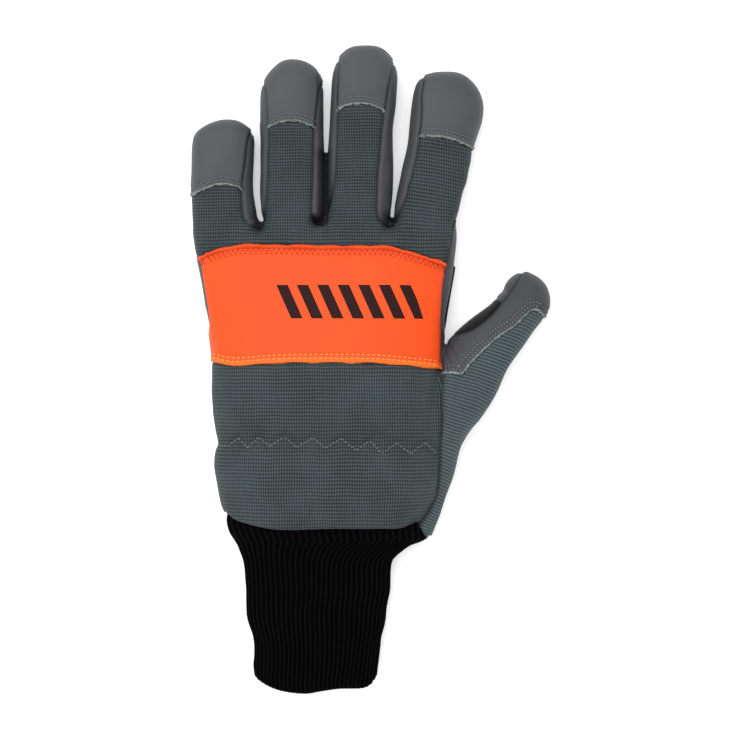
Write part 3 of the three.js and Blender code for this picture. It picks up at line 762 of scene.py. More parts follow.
FINGER_FOLDS = (
    Fold((Spot(-0.235, 0.974), Spot(-0.280, 0.964), Spot(-0.332, 0.955)), 0.9, 1.5),
    Fold((Spot(0.004, 1.000), Spot(-0.037, 0.977), Spot(-0.093, 0.955)), 1.2, 1.9),
    Fold((Spot(-0.004, 1.000), Spot(0.019, 0.968), Spot(0.026, 0.942)), 0.8, 1.5),
    Fold((Spot(0.242, 1.003), Spot(0.220, 0.971), Spot(0.209, 0.935)), 0.9, 1.6),
    Fold((Spot(0.246, 1.003), Spot(0.280, 0.977), Spot(0.332, 0.968)), 1.0, 1.5),
)
SADDLE_FOLDS = (
    Fold((Spot(0.451, 0.614), Spot(0.474, 0.578), Spot(0.496, 0.533)), 0.7, 1.1),
    Fold((Spot(0.470, 0.623), Spot(0.500, 0.588), Spot(0.533, 0.552)), 0.5, 1.2),
    Fold((Spot(0.447, 0.578), Spot(0.462, 0.546), Spot(0.470, 0.523)), 0.5, 0.9),
)
GUSSET_FOLDS = (
    Fold((Spot(0.500, 0.507), Spot(0.488, 0.438), Spot(0.478, 0.341), Spot(0.462, 0.244)),
         0.9, 2.6),
    Fold((Spot(0.653, 0.601), Spot(0.623, 0.513), Spot(0.563, 0.406)), 0.5, 2.6),
    Fold((Spot(0.576, 0.331), Spot(0.521, 0.305), Spot(0.474, 0.266)), 0.7, 2.0),
)


# Where two fingers part, the share of height lost there, and the dent's sizes in mm.
CROTCHES = (Spot(-0.240, 0.992), Spot(0.243, 1.0))
CROTCH_LOSS = 0.62
CROTCH_WIDTH = 2.3
CROTCH_LENGTH = 3.4
# Where the ring and the middle finger touch, with the same values for that line.
TOUCHING = (Spot(-0.032, 1.001), Spot(-0.012, 1.006), Spot(0.001, 1.03), Spot(0.002, 1.12),
            Spot(0.0, 1.22))
TOUCHING_LOSS = 0.66
TOUCHING_WIDTH = 1.7
MOST_LOSS = 0.8
# Where the thumb leaves the hand. The seams that meet there are pulled flat, to one height
# over so many mm.
THUMB_ROOT = (Spot(0.458, 0.636),)
THUMB_ROOT_WIDTH = 4.5
THUMB_ROOT_HEIGHT = 0.8


def hollows(points: np.ndarray) -> np.ndarray:
    """Returns the share of its height that the skin loses between two fingers."""
    total = np.zeros(len(points))
    for centre in plan(CROTCHES):
        off = (points[:, :2] - centre) / MM
        total += CROTCH_LOSS * np.exp(
            -(off[:, 0] / CROTCH_WIDTH) ** 2 - (off[:, 1] / CROTCH_LENGTH) ** 2)
    gap, _ = line_distance(points[:, :2], smooth_line(TOUCHING))
    return np.minimum(total + TOUCHING_LOSS * bump(gap / MM, TOUCHING_WIDTH), MOST_LOSS)


def creases(points: np.ndarray, folds: Sequence[Fold]) -> np.ndarray:
    """Returns how deep the folds press in at each point, in mm below zero."""
    total = np.zeros(len(points))
    for fold in folds:
        line = smooth_line(fold.line)
        gap, place = line_distance(points[:, :2], line)
        length = float(np.hypot(*np.diff(line, axis=0).T).sum())
        fade = ramp(place / length, 1.05, 0.35)
        total -= fold.depth * fade * bump(gap / MM, fold.width)
    return total


# Finishes

def wire(tree: bpy.types.NodeTree, kind: str, *inputs: object, out: int | str | None = 0,
         **settings: object) -> bpy.types.NodeSocket | None:
    """Adds one shader node with its settings and links.

    Args:
        tree: The material's node tree.
        kind: The node's type without its ShaderNode prefix, and for a sum a dot and its
            operation.
        *inputs: What goes into the first sockets, each a value or another node's output,
            or one dict of these by the sockets' names or numbers.
        out: The output that is wanted, if any.
        **settings: The node's own properties.

    Returns:
        The wanted output.
    """
    kind, _, operation = kind.partition(".")
    made = tree.nodes.new("ShaderNode" + kind)
    if operation:
        made.operation = operation
    for name, value in settings.items():
        setattr(made, name, value)
    by_socket = inputs[0] if inputs and isinstance(inputs[0], dict) else dict(enumerate(inputs))
    for socket, value in by_socket.items():
        if isinstance(value, bpy.types.NodeSocket):
            tree.links.new(value, made.inputs[socket])
        else:
            made.inputs[socket].default_value = value
    return None if out is None else made.outputs[out]


@dataclass(frozen=True)
class Finish:
    """What every finish has: a name, its colour, and how rough and how fuzzy it is."""

    name: str
    colour: str
    roughness: float
    sheen: float = 0.0
    specular: float = 0.5

    def start(self) -> tuple[bpy.types.Material, bpy.types.NodeTree]:
        """Returns a new material and its tree, with nothing in it yet."""
        material = bpy.data.materials.new(self.name)
        material.use_nodes = True
        material.node_tree.nodes.clear()
        material.diffuse_color = linear(self.colour)
        return material, material.node_tree

    def close(self, tree: bpy.types.NodeTree, colour: bpy.types.NodeSocket,
              normal: bpy.types.NodeSocket,
              roughness: bpy.types.NodeSocket | None = None) -> None:
        """Joins colour, relief and roughness to the surface and the output."""
        surface = wire(tree, "BsdfPrincipled", {
            "Base Color": colour, "Normal": normal,
            "Roughness": self.roughness if roughness is None else roughness,
            "Sheen Weight": self.sheen, "Sheen Roughness": 0.4, "IOR": 1.5,
            "Specular IOR Level": self.specular})
        wire(tree, "OutputMaterial", {"Surface": surface}, out=None)

    def own_mm(self, tree: bpy.types.NodeTree) -> bpy.types.NodeSocket:
        """Returns the place on the piece's own coordinates, in mm."""
        return wire(tree, "Mapping", {
            0: wire(tree, "TexCoord", out="Object"), 3: (1 / MM, 1 / MM, 1 / MM)})

    def toned(self, tree: bpy.types.NodeTree,
              tone: bpy.types.NodeSocket) -> bpy.types.NodeSocket:
        """Returns the finish's colour times a tone of about 1."""
        return wire(tree, "Mix", {0: 1.0, 6: linear(self.colour), 7: tone}, out=2,
                    data_type="RGBA", blend_type="MULTIPLY")

    def seams(self, tree: bpy.types.NodeTree, colour: bpy.types.NodeSocket,
              row_shade: float = 0.58) -> bpy.types.NodeSocket:
        """Darkens a colour with painted shade in the valley of the nearest sewn seam and along
        stitched rows.

        Args:
            tree: The material's node tree.
            colour: The colour before it is darkened.
            row_shade: How much light is left along the rows of stitches.

        Returns:
            The darkened colour.
        """
        # Painted shade: the colour keeps only 42 % of its light on the seam and fades back to full
        # over about 1 mm.
        gap = wire(tree, "Attribute", out="Fac", attribute_name="seam_mm")
        shade = wire(tree, "MapRange", {0: gap, 1: 0.05, 2: 1.1, 3: 0.42, 4: 1.0},
                     interpolation_type="SMOOTHSTEP")
        # Painted shade also darkens each stitched row a little, where needle holes and thread sunk
        # into the surface lie in shadow.
        row = wire(tree, "Attribute", out="Fac", attribute_name="row_mm")
        along = wire(tree, "MapRange", {0: row, 1: 0.12, 2: 0.62, 3: row_shade, 4: 1.0},
                     interpolation_type="SMOOTHSTEP")
        return wire(tree, "Mix", {
            0: 1.0, 6: colour, 7: wire(tree, "Math.MULTIPLY", shade, along)},
            out=2, data_type="RGBA", blend_type="MULTIPLY")


@dataclass(frozen=True)
class Weave(Finish):
    """Corded stretch cloth: fine cords across, crossed by finer wales along."""

    dark: str = "2c3638"
    cord: float = 1.56
    wale: float = 1.08
    wale_share: float = 0.40
    turn: float = 0.0

    def build(self) -> bpy.types.Material:
        """Returns the material, whose pattern follows the piece's UV map in mm."""
        material, tree = self.start()
        where = wire(tree, "UVMap", uv_map="mm")
        turned = wire(tree, "Mapping", {0: where, 2: (0, 0, math.radians(self.turn))})
        u = wire(tree, "SeparateXYZ", {0: turned}, out="X")
        v = wire(tree, "SeparateXYZ", {0: turned}, out="Y")
        wander = wire(tree, "TexNoise", {"Vector": turned, "Scale": 0.06, "Detail": 2.0},
                      out=0)
        slip = wire(tree, "Math.MULTIPLY", wander, 1.6)
        across, along = (
            wire(tree, "Math.SINE", wire(tree, "Math.MULTIPLY", wire(tree, "Math.ADD", place, slip),
                                         2 * math.pi / pitch))
            for place, pitch in ((v, self.cord), (u, self.wale)))
        # Where the cloth is stretched more one way, those threads show a little less.
        stretch = wire(tree, "TexNoise", {"Vector": turned, "Scale": 0.035, "Detail": 1.0})
        share = wire(tree, "Math.ADD", wire(tree, "Math.MULTIPLY_ADD", stretch, 0.5, -0.25),
                     self.wale_share, use_clamp=True)
        pattern = wire(tree, "Math.MULTIPLY_ADD", wire(tree, "Math.SUBTRACT", along, across), share,
                       across)
        height = wire(tree, "Math.MULTIPLY_ADD", pattern, 0.5, 0.5)
        fibre = wire(tree, "TexNoise", {
            "Vector": wire(tree, "Mapping", {0: turned, 3: (1.0, 4.0, 1.0)}),
            "Scale": 1.4, "Detail": 4.0, "Roughness": 0.7})
        patch = wire(tree, "TexNoise", {"Vector": turned, "Scale": 0.05, "Detail": 3.0})
        tone = wire(tree, "Math.ADD", height, wire(tree, "Math.MULTIPLY_ADD", fibre, 0.9, -0.45))
        tone = wire(tree, "Math.ADD", tone, wire(tree, "Math.MULTIPLY_ADD", patch, 0.5, -0.25))
        colour = wire(tree, "Mix", {
            0: wire(tree, "MapRange", {0: tone, 1: -0.05, 2: 1.05}),
            6: linear(self.dark), 7: linear(self.colour)}, out=2, data_type="RGBA")
        relief = wire(tree, "Math.MULTIPLY_ADD", fibre, 0.3, height)
        normal = wire(tree, "Bump", {"Height": relief, "Strength": 0.9,
                                     "Distance": 0.2 * MM})
        self.close(tree, self.seams(tree, colour), normal)
        return material


@dataclass(frozen=True)
class Leather(Finish):
    """Soft goat leather: a fine pebbled grain, and a paler fuzzy edge where it is cut."""

    edge: str = "3e4847"
    hairs: str = "a3b0ac"
    grain: float = 0.75
    grain_depth: float = 0.035

    def build(self) -> bpy.types.Material:
        """Returns the material, whose grain lies on the piece's own coordinates."""
        material, tree = self.start()
        where = self.own_mm(tree)
        bent = wire(tree, "TexNoise", {"Vector": where, "Scale": 0.5, "Detail": 2.0}, out=1)
        cells = wire(tree, "TexVoronoi", {
            "Vector": wire(tree, "Mix", {0: 0.25, 4: where, 5: bent}, out=1,
                           data_type="VECTOR", blend_type="MIX"),
            "Scale": 1 / self.grain, "Smoothness": 0.6}, feature="SMOOTH_F1")
        fine = wire(tree, "TexNoise", {"Vector": where, "Scale": 2.6, "Detail": 5.0,
                                       "Roughness": 0.65})
        cloud = wire(tree, "TexNoise", {"Vector": where, "Scale": 0.045, "Detail": 3.0})
        tone = wire(tree, "Math.ADD", wire(tree, "Math.MULTIPLY_ADD", cloud, 0.34, 0.79),
                    wire(tree, "Math.MULTIPLY_ADD", fine, 0.10, -0.01))
        skin = self.toned(tree, tone)
        # The cut edge shows the pale, hairy inside of the leather.
        raw = wire(tree, "Attribute", out="Fac", attribute_name="raw_mm")
        hair = wire(tree, "TexNoise", {"Vector": where, "Scale": 1.25, "Detail": 3.0,
                                       "Roughness": 0.7})
        frayed = wire(tree, "Math.ADD", raw, wire(tree, "Math.MULTIPLY_ADD", hair, 3.6, -1.8))
        cut = wire(tree, "MapRange", {0: frayed, 1: 0.7, 2: 1.2, 3: 1.0, 4: 0.0},
                   interpolation_type="SMOOTHSTEP")
        pale = wire(tree, "Mix", {
            0: wire(tree, "Math.MULTIPLY_ADD", hair, 5.5, -2.25, use_clamp=True),
            6: linear(self.edge), 7: linear(self.hairs)}, out=2, data_type="RGBA")
        colour = wire(tree, "Mix", {0: cut, 6: self.seams(tree, skin), 7: pale}, out=2,
                      data_type="RGBA")
        relief = wire(tree, "Math.ADD", wire(tree, "Math.MULTIPLY", cells, 0.8),
                      wire(tree, "Math.MULTIPLY", fine,
                           wire(tree, "Math.MULTIPLY_ADD", cut, 5.0, 0.5)))
        normal = wire(tree, "Bump", {"Height": relief, "Strength": 1.0,
                                     "Distance": self.grain_depth * MM})
        rough = wire(tree, "Math.ADD", wire(tree, "Math.MULTIPLY", cut, 0.35),
                     wire(tree, "Math.MULTIPLY_ADD", fine, 0.12, self.roughness - 0.06))
        self.close(tree, colour, normal, rough)
        return material


@dataclass(frozen=True)
class Suede(Finish):
    """Black napped reinforcement: a short brushed pile that takes nearly all light."""

    def build(self) -> bpy.types.Material:
        """Returns the material, with its nap on the piece's own coordinates."""
        material, tree = self.start()
        where = self.own_mm(tree)
        nap = wire(tree, "TexNoise", {"Vector": where, "Scale": 3.0, "Detail": 6.0,
                                      "Roughness": 0.8})
        brushed = wire(tree, "TexNoise", {"Vector": where, "Scale": 0.15, "Detail": 3.0})
        tone = wire(tree, "Math.ADD", wire(tree, "Math.MULTIPLY_ADD", nap, 0.9, 0.3),
                    wire(tree, "Math.MULTIPLY_ADD", brushed, 0.8, -0.15))
        colour = self.toned(tree, tone)
        normal = wire(tree, "Bump", {"Height": nap, "Strength": 1.0, "Distance": 0.12 * MM})
        self.close(tree, self.seams(tree, colour), normal)
        return material


@dataclass(frozen=True)
class CoatedCloth(Finish):
    """Bright coated cloth with a soft sheen, and one plain printed row of slanted bars."""

    ink: str = "1a0c0c"
    hem: str = "ff7a2c"
    # Painted shadow colour: the valley behind the upper hem's roll and the stitched rows are mixed
    # towards it.
    fold: str = "b02405"
    bar_left: float = -37.0
    bar_count: int = 7
    bar_low: float = 22.0
    bar_high: float = 36.5
    bar_pitch: float = 8.8
    bar_fill: float = 0.56
    slant: float = 0.45

    def build(self) -> bpy.types.Material:
        """Returns the material; the print lies on the piece's UV map in mm."""
        material, tree = self.start()
        where = wire(tree, "UVMap", uv_map="mm")
        u = wire(tree, "SeparateXYZ", {0: where}, out="X")
        v = wire(tree, "SeparateXYZ", {0: where}, out="Y")
        fine = wire(tree, "TexNoise", {"Vector": where, "Scale": 1.8, "Detail": 4.0,
                                       "Roughness": 0.6})
        cloud = wire(tree, "TexNoise", {"Vector": where, "Scale": 0.04, "Detail": 2.0})
        rows = wire(tree, "Math.SINE", wire(tree, "Math.MULTIPLY", v, 2 * math.pi / 0.7))
        columns = wire(tree, "Math.SINE", wire(tree, "Math.MULTIPLY", u, 2 * math.pi / 0.7))
        cloth = wire(tree, "Math.MULTIPLY", rows, columns)
        tone = wire(tree, "Math.ADD", wire(tree, "Math.MULTIPLY_ADD", cloud, 0.10, 0.95),
                    wire(tree, "Math.MULTIPLY_ADD", fine, 0.06, -0.03))
        coat = self.toned(tree, tone)
        # The upper hem is rolled: a redder shadow lies in the valley behind the roll.
        top = wire(tree, "Attribute", out="Fac", attribute_name="top_mm")
        uneven = wire(tree, "Math.ADD", top, wire(tree, "Math.MULTIPLY_ADD", fine, 1.2, -0.6))
        valley = wire(tree, "Math.MULTIPLY",
                      wire(tree, "MapRange", {0: uneven, 1: 1.0, 2: 1.9, 3: 0.0, 4: 0.55}),
                       wire(tree, "MapRange", {0: uneven, 1: 1.9, 2: 2.7, 3: 1.0, 4: 0.0}))
        # Painted shade: each stitched row of both hems is mixed towards the shadow colour too.
        row = wire(tree, "Attribute", out="Fac", attribute_name="row_mm")
        row_shade = wire(tree, "MapRange", {0: row, 1: 0.1, 2: 0.6, 3: 0.85, 4: 0.0})
        coat = wire(tree, "Mix", {
            0: wire(tree, "Math.MAXIMUM", valley, row_shade), 6: coat, 7: linear(self.fold)}, out=2,
            data_type="RGBA")
        # The lower hem is folded over and looks a little yellower.
        hem = wire(tree, "Attribute", out="Fac", attribute_name="hem_mm")
        coat = wire(tree, "Mix", {
            0: wire(tree, "MapRange", {0: hem, 1: 1.0, 2: 3.4, 3: 0.8, 4: 0.0},
                    interpolation_type="SMOOTHSTEP"),
            6: coat, 7: linear(self.hem)}, out=2, data_type="RGBA")
        # Plain slanted bars in dark ink.
        rise = wire(tree, "Math.SUBTRACT", v, (self.bar_low + self.bar_high) / 2)
        leaning = wire(tree, "Math.SUBTRACT", wire(tree, "Math.MULTIPLY_ADD", rise, self.slant, u),
                       self.bar_left)
        share = wire(tree, "Math.FRACT", wire(tree, "Math.DIVIDE", leaning, self.bar_pitch))
        bar = wire(tree, "Math.LESS_THAN", share, self.bar_fill)
        length = self.bar_count * self.bar_pitch
        for value, middle, reach in ((leaning, length / 2, length / 2),
                                     (rise, 0.0, (self.bar_high - self.bar_low) / 2)):
            bar = wire(tree, "Math.MULTIPLY", bar, wire(tree, "Math.COMPARE", value, middle, reach))
        worn = wire(tree, "MapRange", {0: fine, 1: 0.28, 2: 0.42, 3: 0.86, 4: 0.99})
        ink = wire(tree, "Math.MULTIPLY", bar, worn)
        colour = wire(tree, "Mix", {0: ink, 6: self.seams(tree, coat, 1.0),
                                    7: linear(self.ink)}, out=2, data_type="RGBA")
        relief = wire(tree, "Math.ADD", wire(tree, "Math.MULTIPLY_ADD", cloth, 0.25, fine),
                      wire(tree, "Math.MULTIPLY", ink, 1.5))
        normal = wire(tree, "Bump", {"Height": relief, "Strength": 0.8,
                                     "Distance": 0.03 * MM})
        rough = wire(tree, "Math.MULTIPLY_ADD", ink, 0.2,
                     wire(tree, "Math.MULTIPLY_ADD", fine, 0.1, self.roughness - 0.05))
        self.close(tree, colour, normal, rough)
        return material


@dataclass(frozen=True)
class RibKnit(Finish):
    """Black elastic rib knit: a column of small interlocked loops on every rib."""

    loop: float = 1.0

    def build(self) -> bpy.types.Material:
        """Returns the material; its UV map counts ribs across and mm along."""
        material, tree = self.start()
        where = wire(tree, "UVMap", uv_map="mm")
        u = wire(tree, "SeparateXYZ", {0: where}, out="X")
        v = wire(tree, "SeparateXYZ", {0: where}, out="Y")
        side = wire(tree, "Math.PINGPONG", u, 0.5)
        lean = wire(tree, "Math.MULTIPLY_ADD", side, 1.1, wire(tree, "Math.DIVIDE", v, self.loop))
        stitch = wire(tree, "Math.MULTIPLY_ADD",
                      wire(tree, "Math.SINE", wire(tree, "Math.MULTIPLY", lean, 2 * math.pi)),
                      0.5, 0.5)
        spread = wire(tree, "Mapping", {0: where, 3: (2.0, 1.0, 1.0)})
        fibre = wire(tree, "TexNoise", {"Vector": spread, "Scale": 2.5, "Detail": 5.0,
                                        "Roughness": 0.75})
        patch = wire(tree, "TexNoise", {"Vector": where, "Scale": 0.08, "Detail": 2.0})
        # Painted shade: the knit between two ribs is darkened as if it lay in shadow.
        rib_shade = wire(tree, "MapRange", {0: side, 1: 0.06, 2: 0.34, 3: 0.62, 4: 0.03},
                     interpolation_type="SMOOTHSTEP")
        tone = wire(tree, "Math.MULTIPLY", rib_shade, wire(tree, "Math.MULTIPLY_ADD", stitch, 0.5, 0.7))
        tone = wire(tree, "Math.MULTIPLY", tone, wire(tree, "Math.MULTIPLY_ADD", fibre, 0.9, 0.6))
        tone = wire(tree, "Math.MULTIPLY", tone, wire(tree, "Math.MULTIPLY_ADD", patch, 0.5, 0.75))
        colour = self.toned(tree, tone)
        relief = wire(tree, "Math.MULTIPLY_ADD", fibre, 0.6, stitch)
        normal = wire(tree, "Bump", {"Height": relief, "Strength": 0.9,
                                     "Distance": 0.16 * MM})
        self.close(tree, colour, normal)
        return material


@dataclass(frozen=True)
class Thread(Finish):
    """Twisted polyester sewing thread."""

    def build(self) -> bpy.types.Material:
        """Returns the material, with the twist as fine slanting lines."""
        material, tree = self.start()
        where = self.own_mm(tree)
        twist = wire(tree, "TexWave", {"Vector": where, "Scale": 1.2, "Distortion": 2.0},
                     out=1, bands_direction="DIAGONAL")
        hair = wire(tree, "TexNoise", {"Vector": where, "Scale": 2.0, "Detail": 2.0})
        tone = wire(tree, "Math.ADD", wire(tree, "Math.MULTIPLY_ADD", twist, 0.3, 0.6),
                    wire(tree, "Math.MULTIPLY", hair, 0.35))
        colour = self.toned(tree, tone)
        normal = wire(tree, "Bump", {"Height": twist, "Strength": 0.7,
                                     "Distance": 0.06 * MM})
        self.close(tree, colour, normal)
        return material


@dataclass(frozen=True)
class Backdrop(Finish):
    """Seamless pale sheet under the glove, faintly lit from behind."""

    glow: float = 0.35

    def build(self) -> bpy.types.Material:
        """Returns the material, plain but for the paper's faint tooth."""
        material, tree = self.start()
        where = wire(tree, "TexCoord", out="Object")
        tooth = wire(tree, "TexNoise", {"Vector": where, "Scale": 900.0, "Detail": 3.0})
        colour = wire(tree, "Mix", {
            0: tooth, 6: linear(self.colour), 7: linear("ffffff")}, out=2, data_type="RGBA")
        normal = wire(tree, "Bump", {"Height": tooth, "Strength": 0.1,
                                     "Distance": 0.02 * MM})
        self.close(tree, colour, normal)
        surface = next(node for node in tree.nodes if node.type == "BSDF_PRINCIPLED")
        surface.inputs["Emission Strength"].default_value = self.glow
        return material


class Look(Enum):
    """The glove's finishes: the name of a material slot, and how each one is made."""

    # Slate corded stretch cloth: a grid of dark holes between pale cords.
    WEAVE = ("weave", Weave("slate_corded_cloth", "4f5b5e", 0.85, sheen=0.05, dark="04080a",
                            specular=0.3, wale_share=0.55))
    # The same cloth stretched along the fingers: its cords stand out, its wales less.
    FINGER_WEAVE = ("weave", Weave("slate_finger_cloth", "4a5659", 0.85, sheen=0.05,
                                   dark="04080a", specular=0.3, wale_share=0.46))
    # The same cloth stretched over the thumb: cords only, the wales hardly show.
    GUSSET = ("gusset", Weave("slate_ribbed_cloth", "5c6a6c", 0.85, sheen=0.05,
                              dark="212b2e", specular=0.3, cord=1.42, wale_share=0.24, turn=14.0))
    # Smooth grey leather with an even, slightly waxy grain.
    LEATHER = ("leather", Leather("grey_leather", "474b4e", 0.58, specular=0.35))
    # The same leather over the thumb, its colour made a little darker as painted shade.
    THUMB_LEATHER = ("leather", Leather("thumb_leather_painted_shade", "404346", 0.6, specular=0.3))
    # The leather between the fingers, its colour made a little darker than the caps' as painted
    # shade.
    SIDE_LEATHER = ("side_leather", Leather("side_leather_painted_shade", "45484b", 0.6, specular=0.3))
    # Black napped suede of the reinforcements.
    SUEDE = ("suede", Suede("black_suede", "1e1e1f", 0.95, sheen=0.1, specular=0.2))
    # Vivid orange coating with a soft, broad shine.
    BAND = ("band", CoatedCloth("orange_coated_cloth", "f9531c", 0.5, specular=0.2))
    # Black rib knit, dull and deep.
    KNIT = ("knit", RibKnit("black_rib_knit", "110e11", 0.9, specular=0.05))
    # Pale grey thread of the leather's topstitching.
    GREY_THREAD = ("leather", Thread("grey_thread", "868e8d", 0.6))
    # Orange thread of the band's upper hem, a shade redder than the coating.
    ORANGE_THREAD = ("band", Thread("orange_thread", "ff7332", 0.5))
    # Yellow-orange thread of the band's lower hem.
    YELLOW_THREAD = ("band", Thread("yellow_orange_thread", "ffae52", 0.5))

    def dress(self, piece: bpy.types.Object) -> None:
        """Puts the finish on a piece."""
        slot, finish = self.value
        made = bpy.data.materials.get(finish.name) or finish.build()
        piece.data.materials.clear()
        piece.data.materials.append(made)


# Sewn panels

CAP_ROWS = (1.9, 3.3)
SADDLE_ROWS = (1.9, 3.6)
BAND_TOP_ROWS = (2.3, 3.7)
BAND_FOOT_ROWS = (2.0, 3.6)
BAND_PITCH = 2.25


def rows_gap(distance: np.ndarray, rows: Sequence[float]) -> np.ndarray:
    """Returns how far points are from the nearest of the rows, which are given in mm."""
    return np.min([np.abs(distance - row * MM) for row in rows], axis=0)


def nearest(*gaps: np.ndarray) -> np.ndarray:
    """Returns the distance to the nearest of several seams, on whichever side it is."""
    return np.min(np.abs(gaps), axis=0)


def groove(gap: np.ndarray, depth: float = 1.0, width: float = 1.1) -> np.ndarray:
    """Returns how far the skin sinks, in mm below zero, near a seam gap metres away."""
    return -depth * bump(gap / MM, width)


def fray(points: np.ndarray, seed: int) -> np.ndarray:
    """Returns how far a raw edge wanders in or out, in mm."""
    return 0.22 * ripple(points, 2.1 * MM, seed) + 0.15 * ripple(points, 5 * MM, seed + 1)


def mm(value: np.ndarray) -> np.ndarray:
    """Turns metres into millimetres."""
    return value / MM


@dataclass
class Panel:
    """One sewn panel of the glove, cut from the skin along its seams."""

    name: str
    look: Look
    thickness: float = 1.3 * MM
    underlap: float = 2.0 * MM

    def bounds(self, zones: Zones) -> list[np.ndarray]:
        """Returns how deep the points lie inside each of the panel's edges."""
        raise NotImplementedError

    def relief(self, zones: Zones) -> np.ndarray:
        """Returns how far each point stands out from the skin, in mm."""
        raise NotImplementedError

    def seam_gap(self, zones: Zones) -> np.ndarray:
        """Returns the distance to the nearest seam, which painted shade draws as a dark line."""
        return nearest(*self.bounds(zones))

    def raw_gap(self, zones: Zones) -> np.ndarray:
        """Returns the distance to the panel's cut edge, if it has one."""
        return np.full(len(zones.points), FAR)

    def row_gap(self, zones: Zones) -> np.ndarray:
        """Returns the distance to the nearest row of stitches, if the panel has one."""
        return np.full(len(zones.points), FAR)

    def weave_map(self, zones: Zones) -> tuple[np.ndarray, np.ndarray]:
        """Returns each point's place on the cloth, across and along it, in mm."""
        return mm(unrolled(zones)), mm(zones.points[:, 1])

    def build(self, skin: Skin) -> bpy.types.Object:
        """Args:
            skin: The whole skin that the panel is cut from.

        Returns:
            The finished piece.
        """
        mesh = skin.cut(self.name, self.bounds(skin.zones))
        home = read_vectors(mesh, "home")
        way = read_vectors(mesh, "way")
        zones = Zones(home)
        flat = bump(np.hypot(*(home[:, :2] - plan(THUMB_ROOT)).T) / MM, THUMB_ROOT_WIDTH)
        height = self.relief(zones) * (1 - flat) + THUMB_ROOT_HEIGHT * flat
        points = home + way * (height * MM)[:, None]
        points[:, 2] = np.maximum(points[:, 2] * (1 - hollows(home)), 0.0)
        mesh.vertices.foreach_set("co", points.astype(np.float32).ravel())
        write_values(mesh, "seam_mm", mm(self.seam_gap(zones)))
        write_values(mesh, "raw_mm", mm(self.raw_gap(zones)))
        write_values(mesh, "row_mm", mm(self.row_gap(zones)))
        write_values(mesh, "hem_mm", mm(np.abs(zones.band_foot[0])))
        write_values(mesh, "top_mm", mm(np.abs(zones.band_top[0])))
        write_map(mesh, *self.weave_map(zones))
        for name in ("home", "way"):
            mesh.attributes.remove(mesh.attributes[name])
        mesh.shade_smooth()
        piece = placed(f"{self.name}_panel", mesh)
        wall = piece.modifiers.new("wall", "SOLIDIFY")
        wall.thickness = self.thickness
        wall.offset = -1.0
        self.look.dress(piece)
        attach(piece, "root")
        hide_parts(self.name)
        LOG.info("%s: %d faces", self.name, len(mesh.polygons))
        return piece


def unrolled(zones: Zones) -> np.ndarray:
    """Returns how far across the cloth each point lies, measured round the form."""
    x, y, z = zones.points.T
    centre, top = np.zeros(len(x)), np.full(len(x), 1.0)
    least = np.full(len(x), np.inf)
    for tube in (HAND_TUBE, *FINGER_TUBES):
        at = tube.at(y)
        low, high = tube.reach()
        beyond = np.maximum(low - y, y - high).clip(0) * 50
        off = np.abs(x - at["centre"]) / at["half"] + beyond
        if tube is HAND_TUBE:
            off = np.where(y > high - 1 * MM, np.inf, off * 0.2)
        closer = off < least
        least = np.where(closer, off, least)
        centre = np.where(closer, at["centre"], centre)
        top = np.where(closer, at["top"], top)
    drop = np.maximum(top - z - 4 * MM, 0)
    return x + np.sign(x - centre) * drop * 0.8


def read_vectors(mesh: bpy.types.Mesh, name: str) -> np.ndarray:
    """Returns a vector attribute's values as rows."""
    flat = np.empty(len(mesh.vertices) * 3, dtype=np.float32)
    mesh.attributes[name].data.foreach_get("vector", flat)
    return flat.reshape(-1, 3).astype(float)


def write_values(mesh: bpy.types.Mesh, name: str, values: np.ndarray) -> None:
    """Stores one number for each of the mesh's points."""
    layer = mesh.attributes.new(name, "FLOAT", "POINT")
    layer.data.foreach_set("value", np.asarray(values, dtype=np.float32))


def write_map(mesh: bpy.types.Mesh, across: np.ndarray, along: np.ndarray) -> None:
    """Stores each point's place on the cloth as the UV map "mm"."""
    corners = np.empty(len(mesh.loops), dtype=np.int32)
    mesh.loops.foreach_get("vertex_index", corners)
    layer = mesh.uv_layers.new(name="mm")
    places = np.column_stack([across, along])[corners]
    layer.data.foreach_set("uv", places.astype(np.float32).ravel())


class BackUpper(Panel):
    """Slate cloth over the finger backs and the knuckles."""

    def weave_map(self, zones: Zones) -> tuple[np.ndarray, np.ndarray]:
        """Returns the place on the cloth: its cords lie closer on three fingers."""
        across, along = super().weave_map(zones)
        root = (0.97 * BACK_LENGTH + FRAME_SHIFT[1]) / MM
        index = ramp(zones.across, 0.24, 0.30)
        beyond = np.maximum(along - root, 0)
        centre = (0.38 * HAND_WIDTH + FRAME_SHIFT[0]) / MM
        tilt = index * ramp(zones.along, 0.92, 1.08) * (across - centre) * 0.16
        return across, along + beyond * 0.17 * (1 - index) + tilt

    def bounds(self, zones: Zones) -> list[np.ndarray]:
        """Returns the panel's edges: side seams, finger sides, caps and band."""
        return [zones.upper, 0.3 * MM - zones.right_of_back, 0.3 * MM - zones.side,
                self.underlap - zones.cap, zones.band_top[0] + self.underlap,
                0.2 * MM - zones.little_wrap]

    def seam_gap(self, zones: Zones) -> np.ndarray:
        """Returns the distance to the nearest seam, band or cap edge."""
        return nearest(zones.side, zones.right_of_back, zones.upper,
                       np.abs(zones.cap) + 0.3 * MM, np.abs(zones.band_top[0]) + 0.2 * MM)

    def relief(self, zones: Zones) -> np.ndarray:
        """Returns the cloth's height: sunk seams, folds at the finger roots, soft waves."""
        height = groove(zones.side, 0.8, 1.0) + groove(zones.right_of_back, 0.8, 1.1)
        height += groove(zones.upper, 0.6, 1.0) - 0.15
        height -= 0.4 * ramp(mm(zones.cap), -1.2, 0.4)
        height -= 0.4 * ramp(mm(-zones.band_top[0]), -1.0, 0.6)
        height += creases(zones.points, FINGER_FOLDS)
        height += 0.22 * ripple(zones.points, 11 * MM, 3, (1.8, 1, 1))
        return height


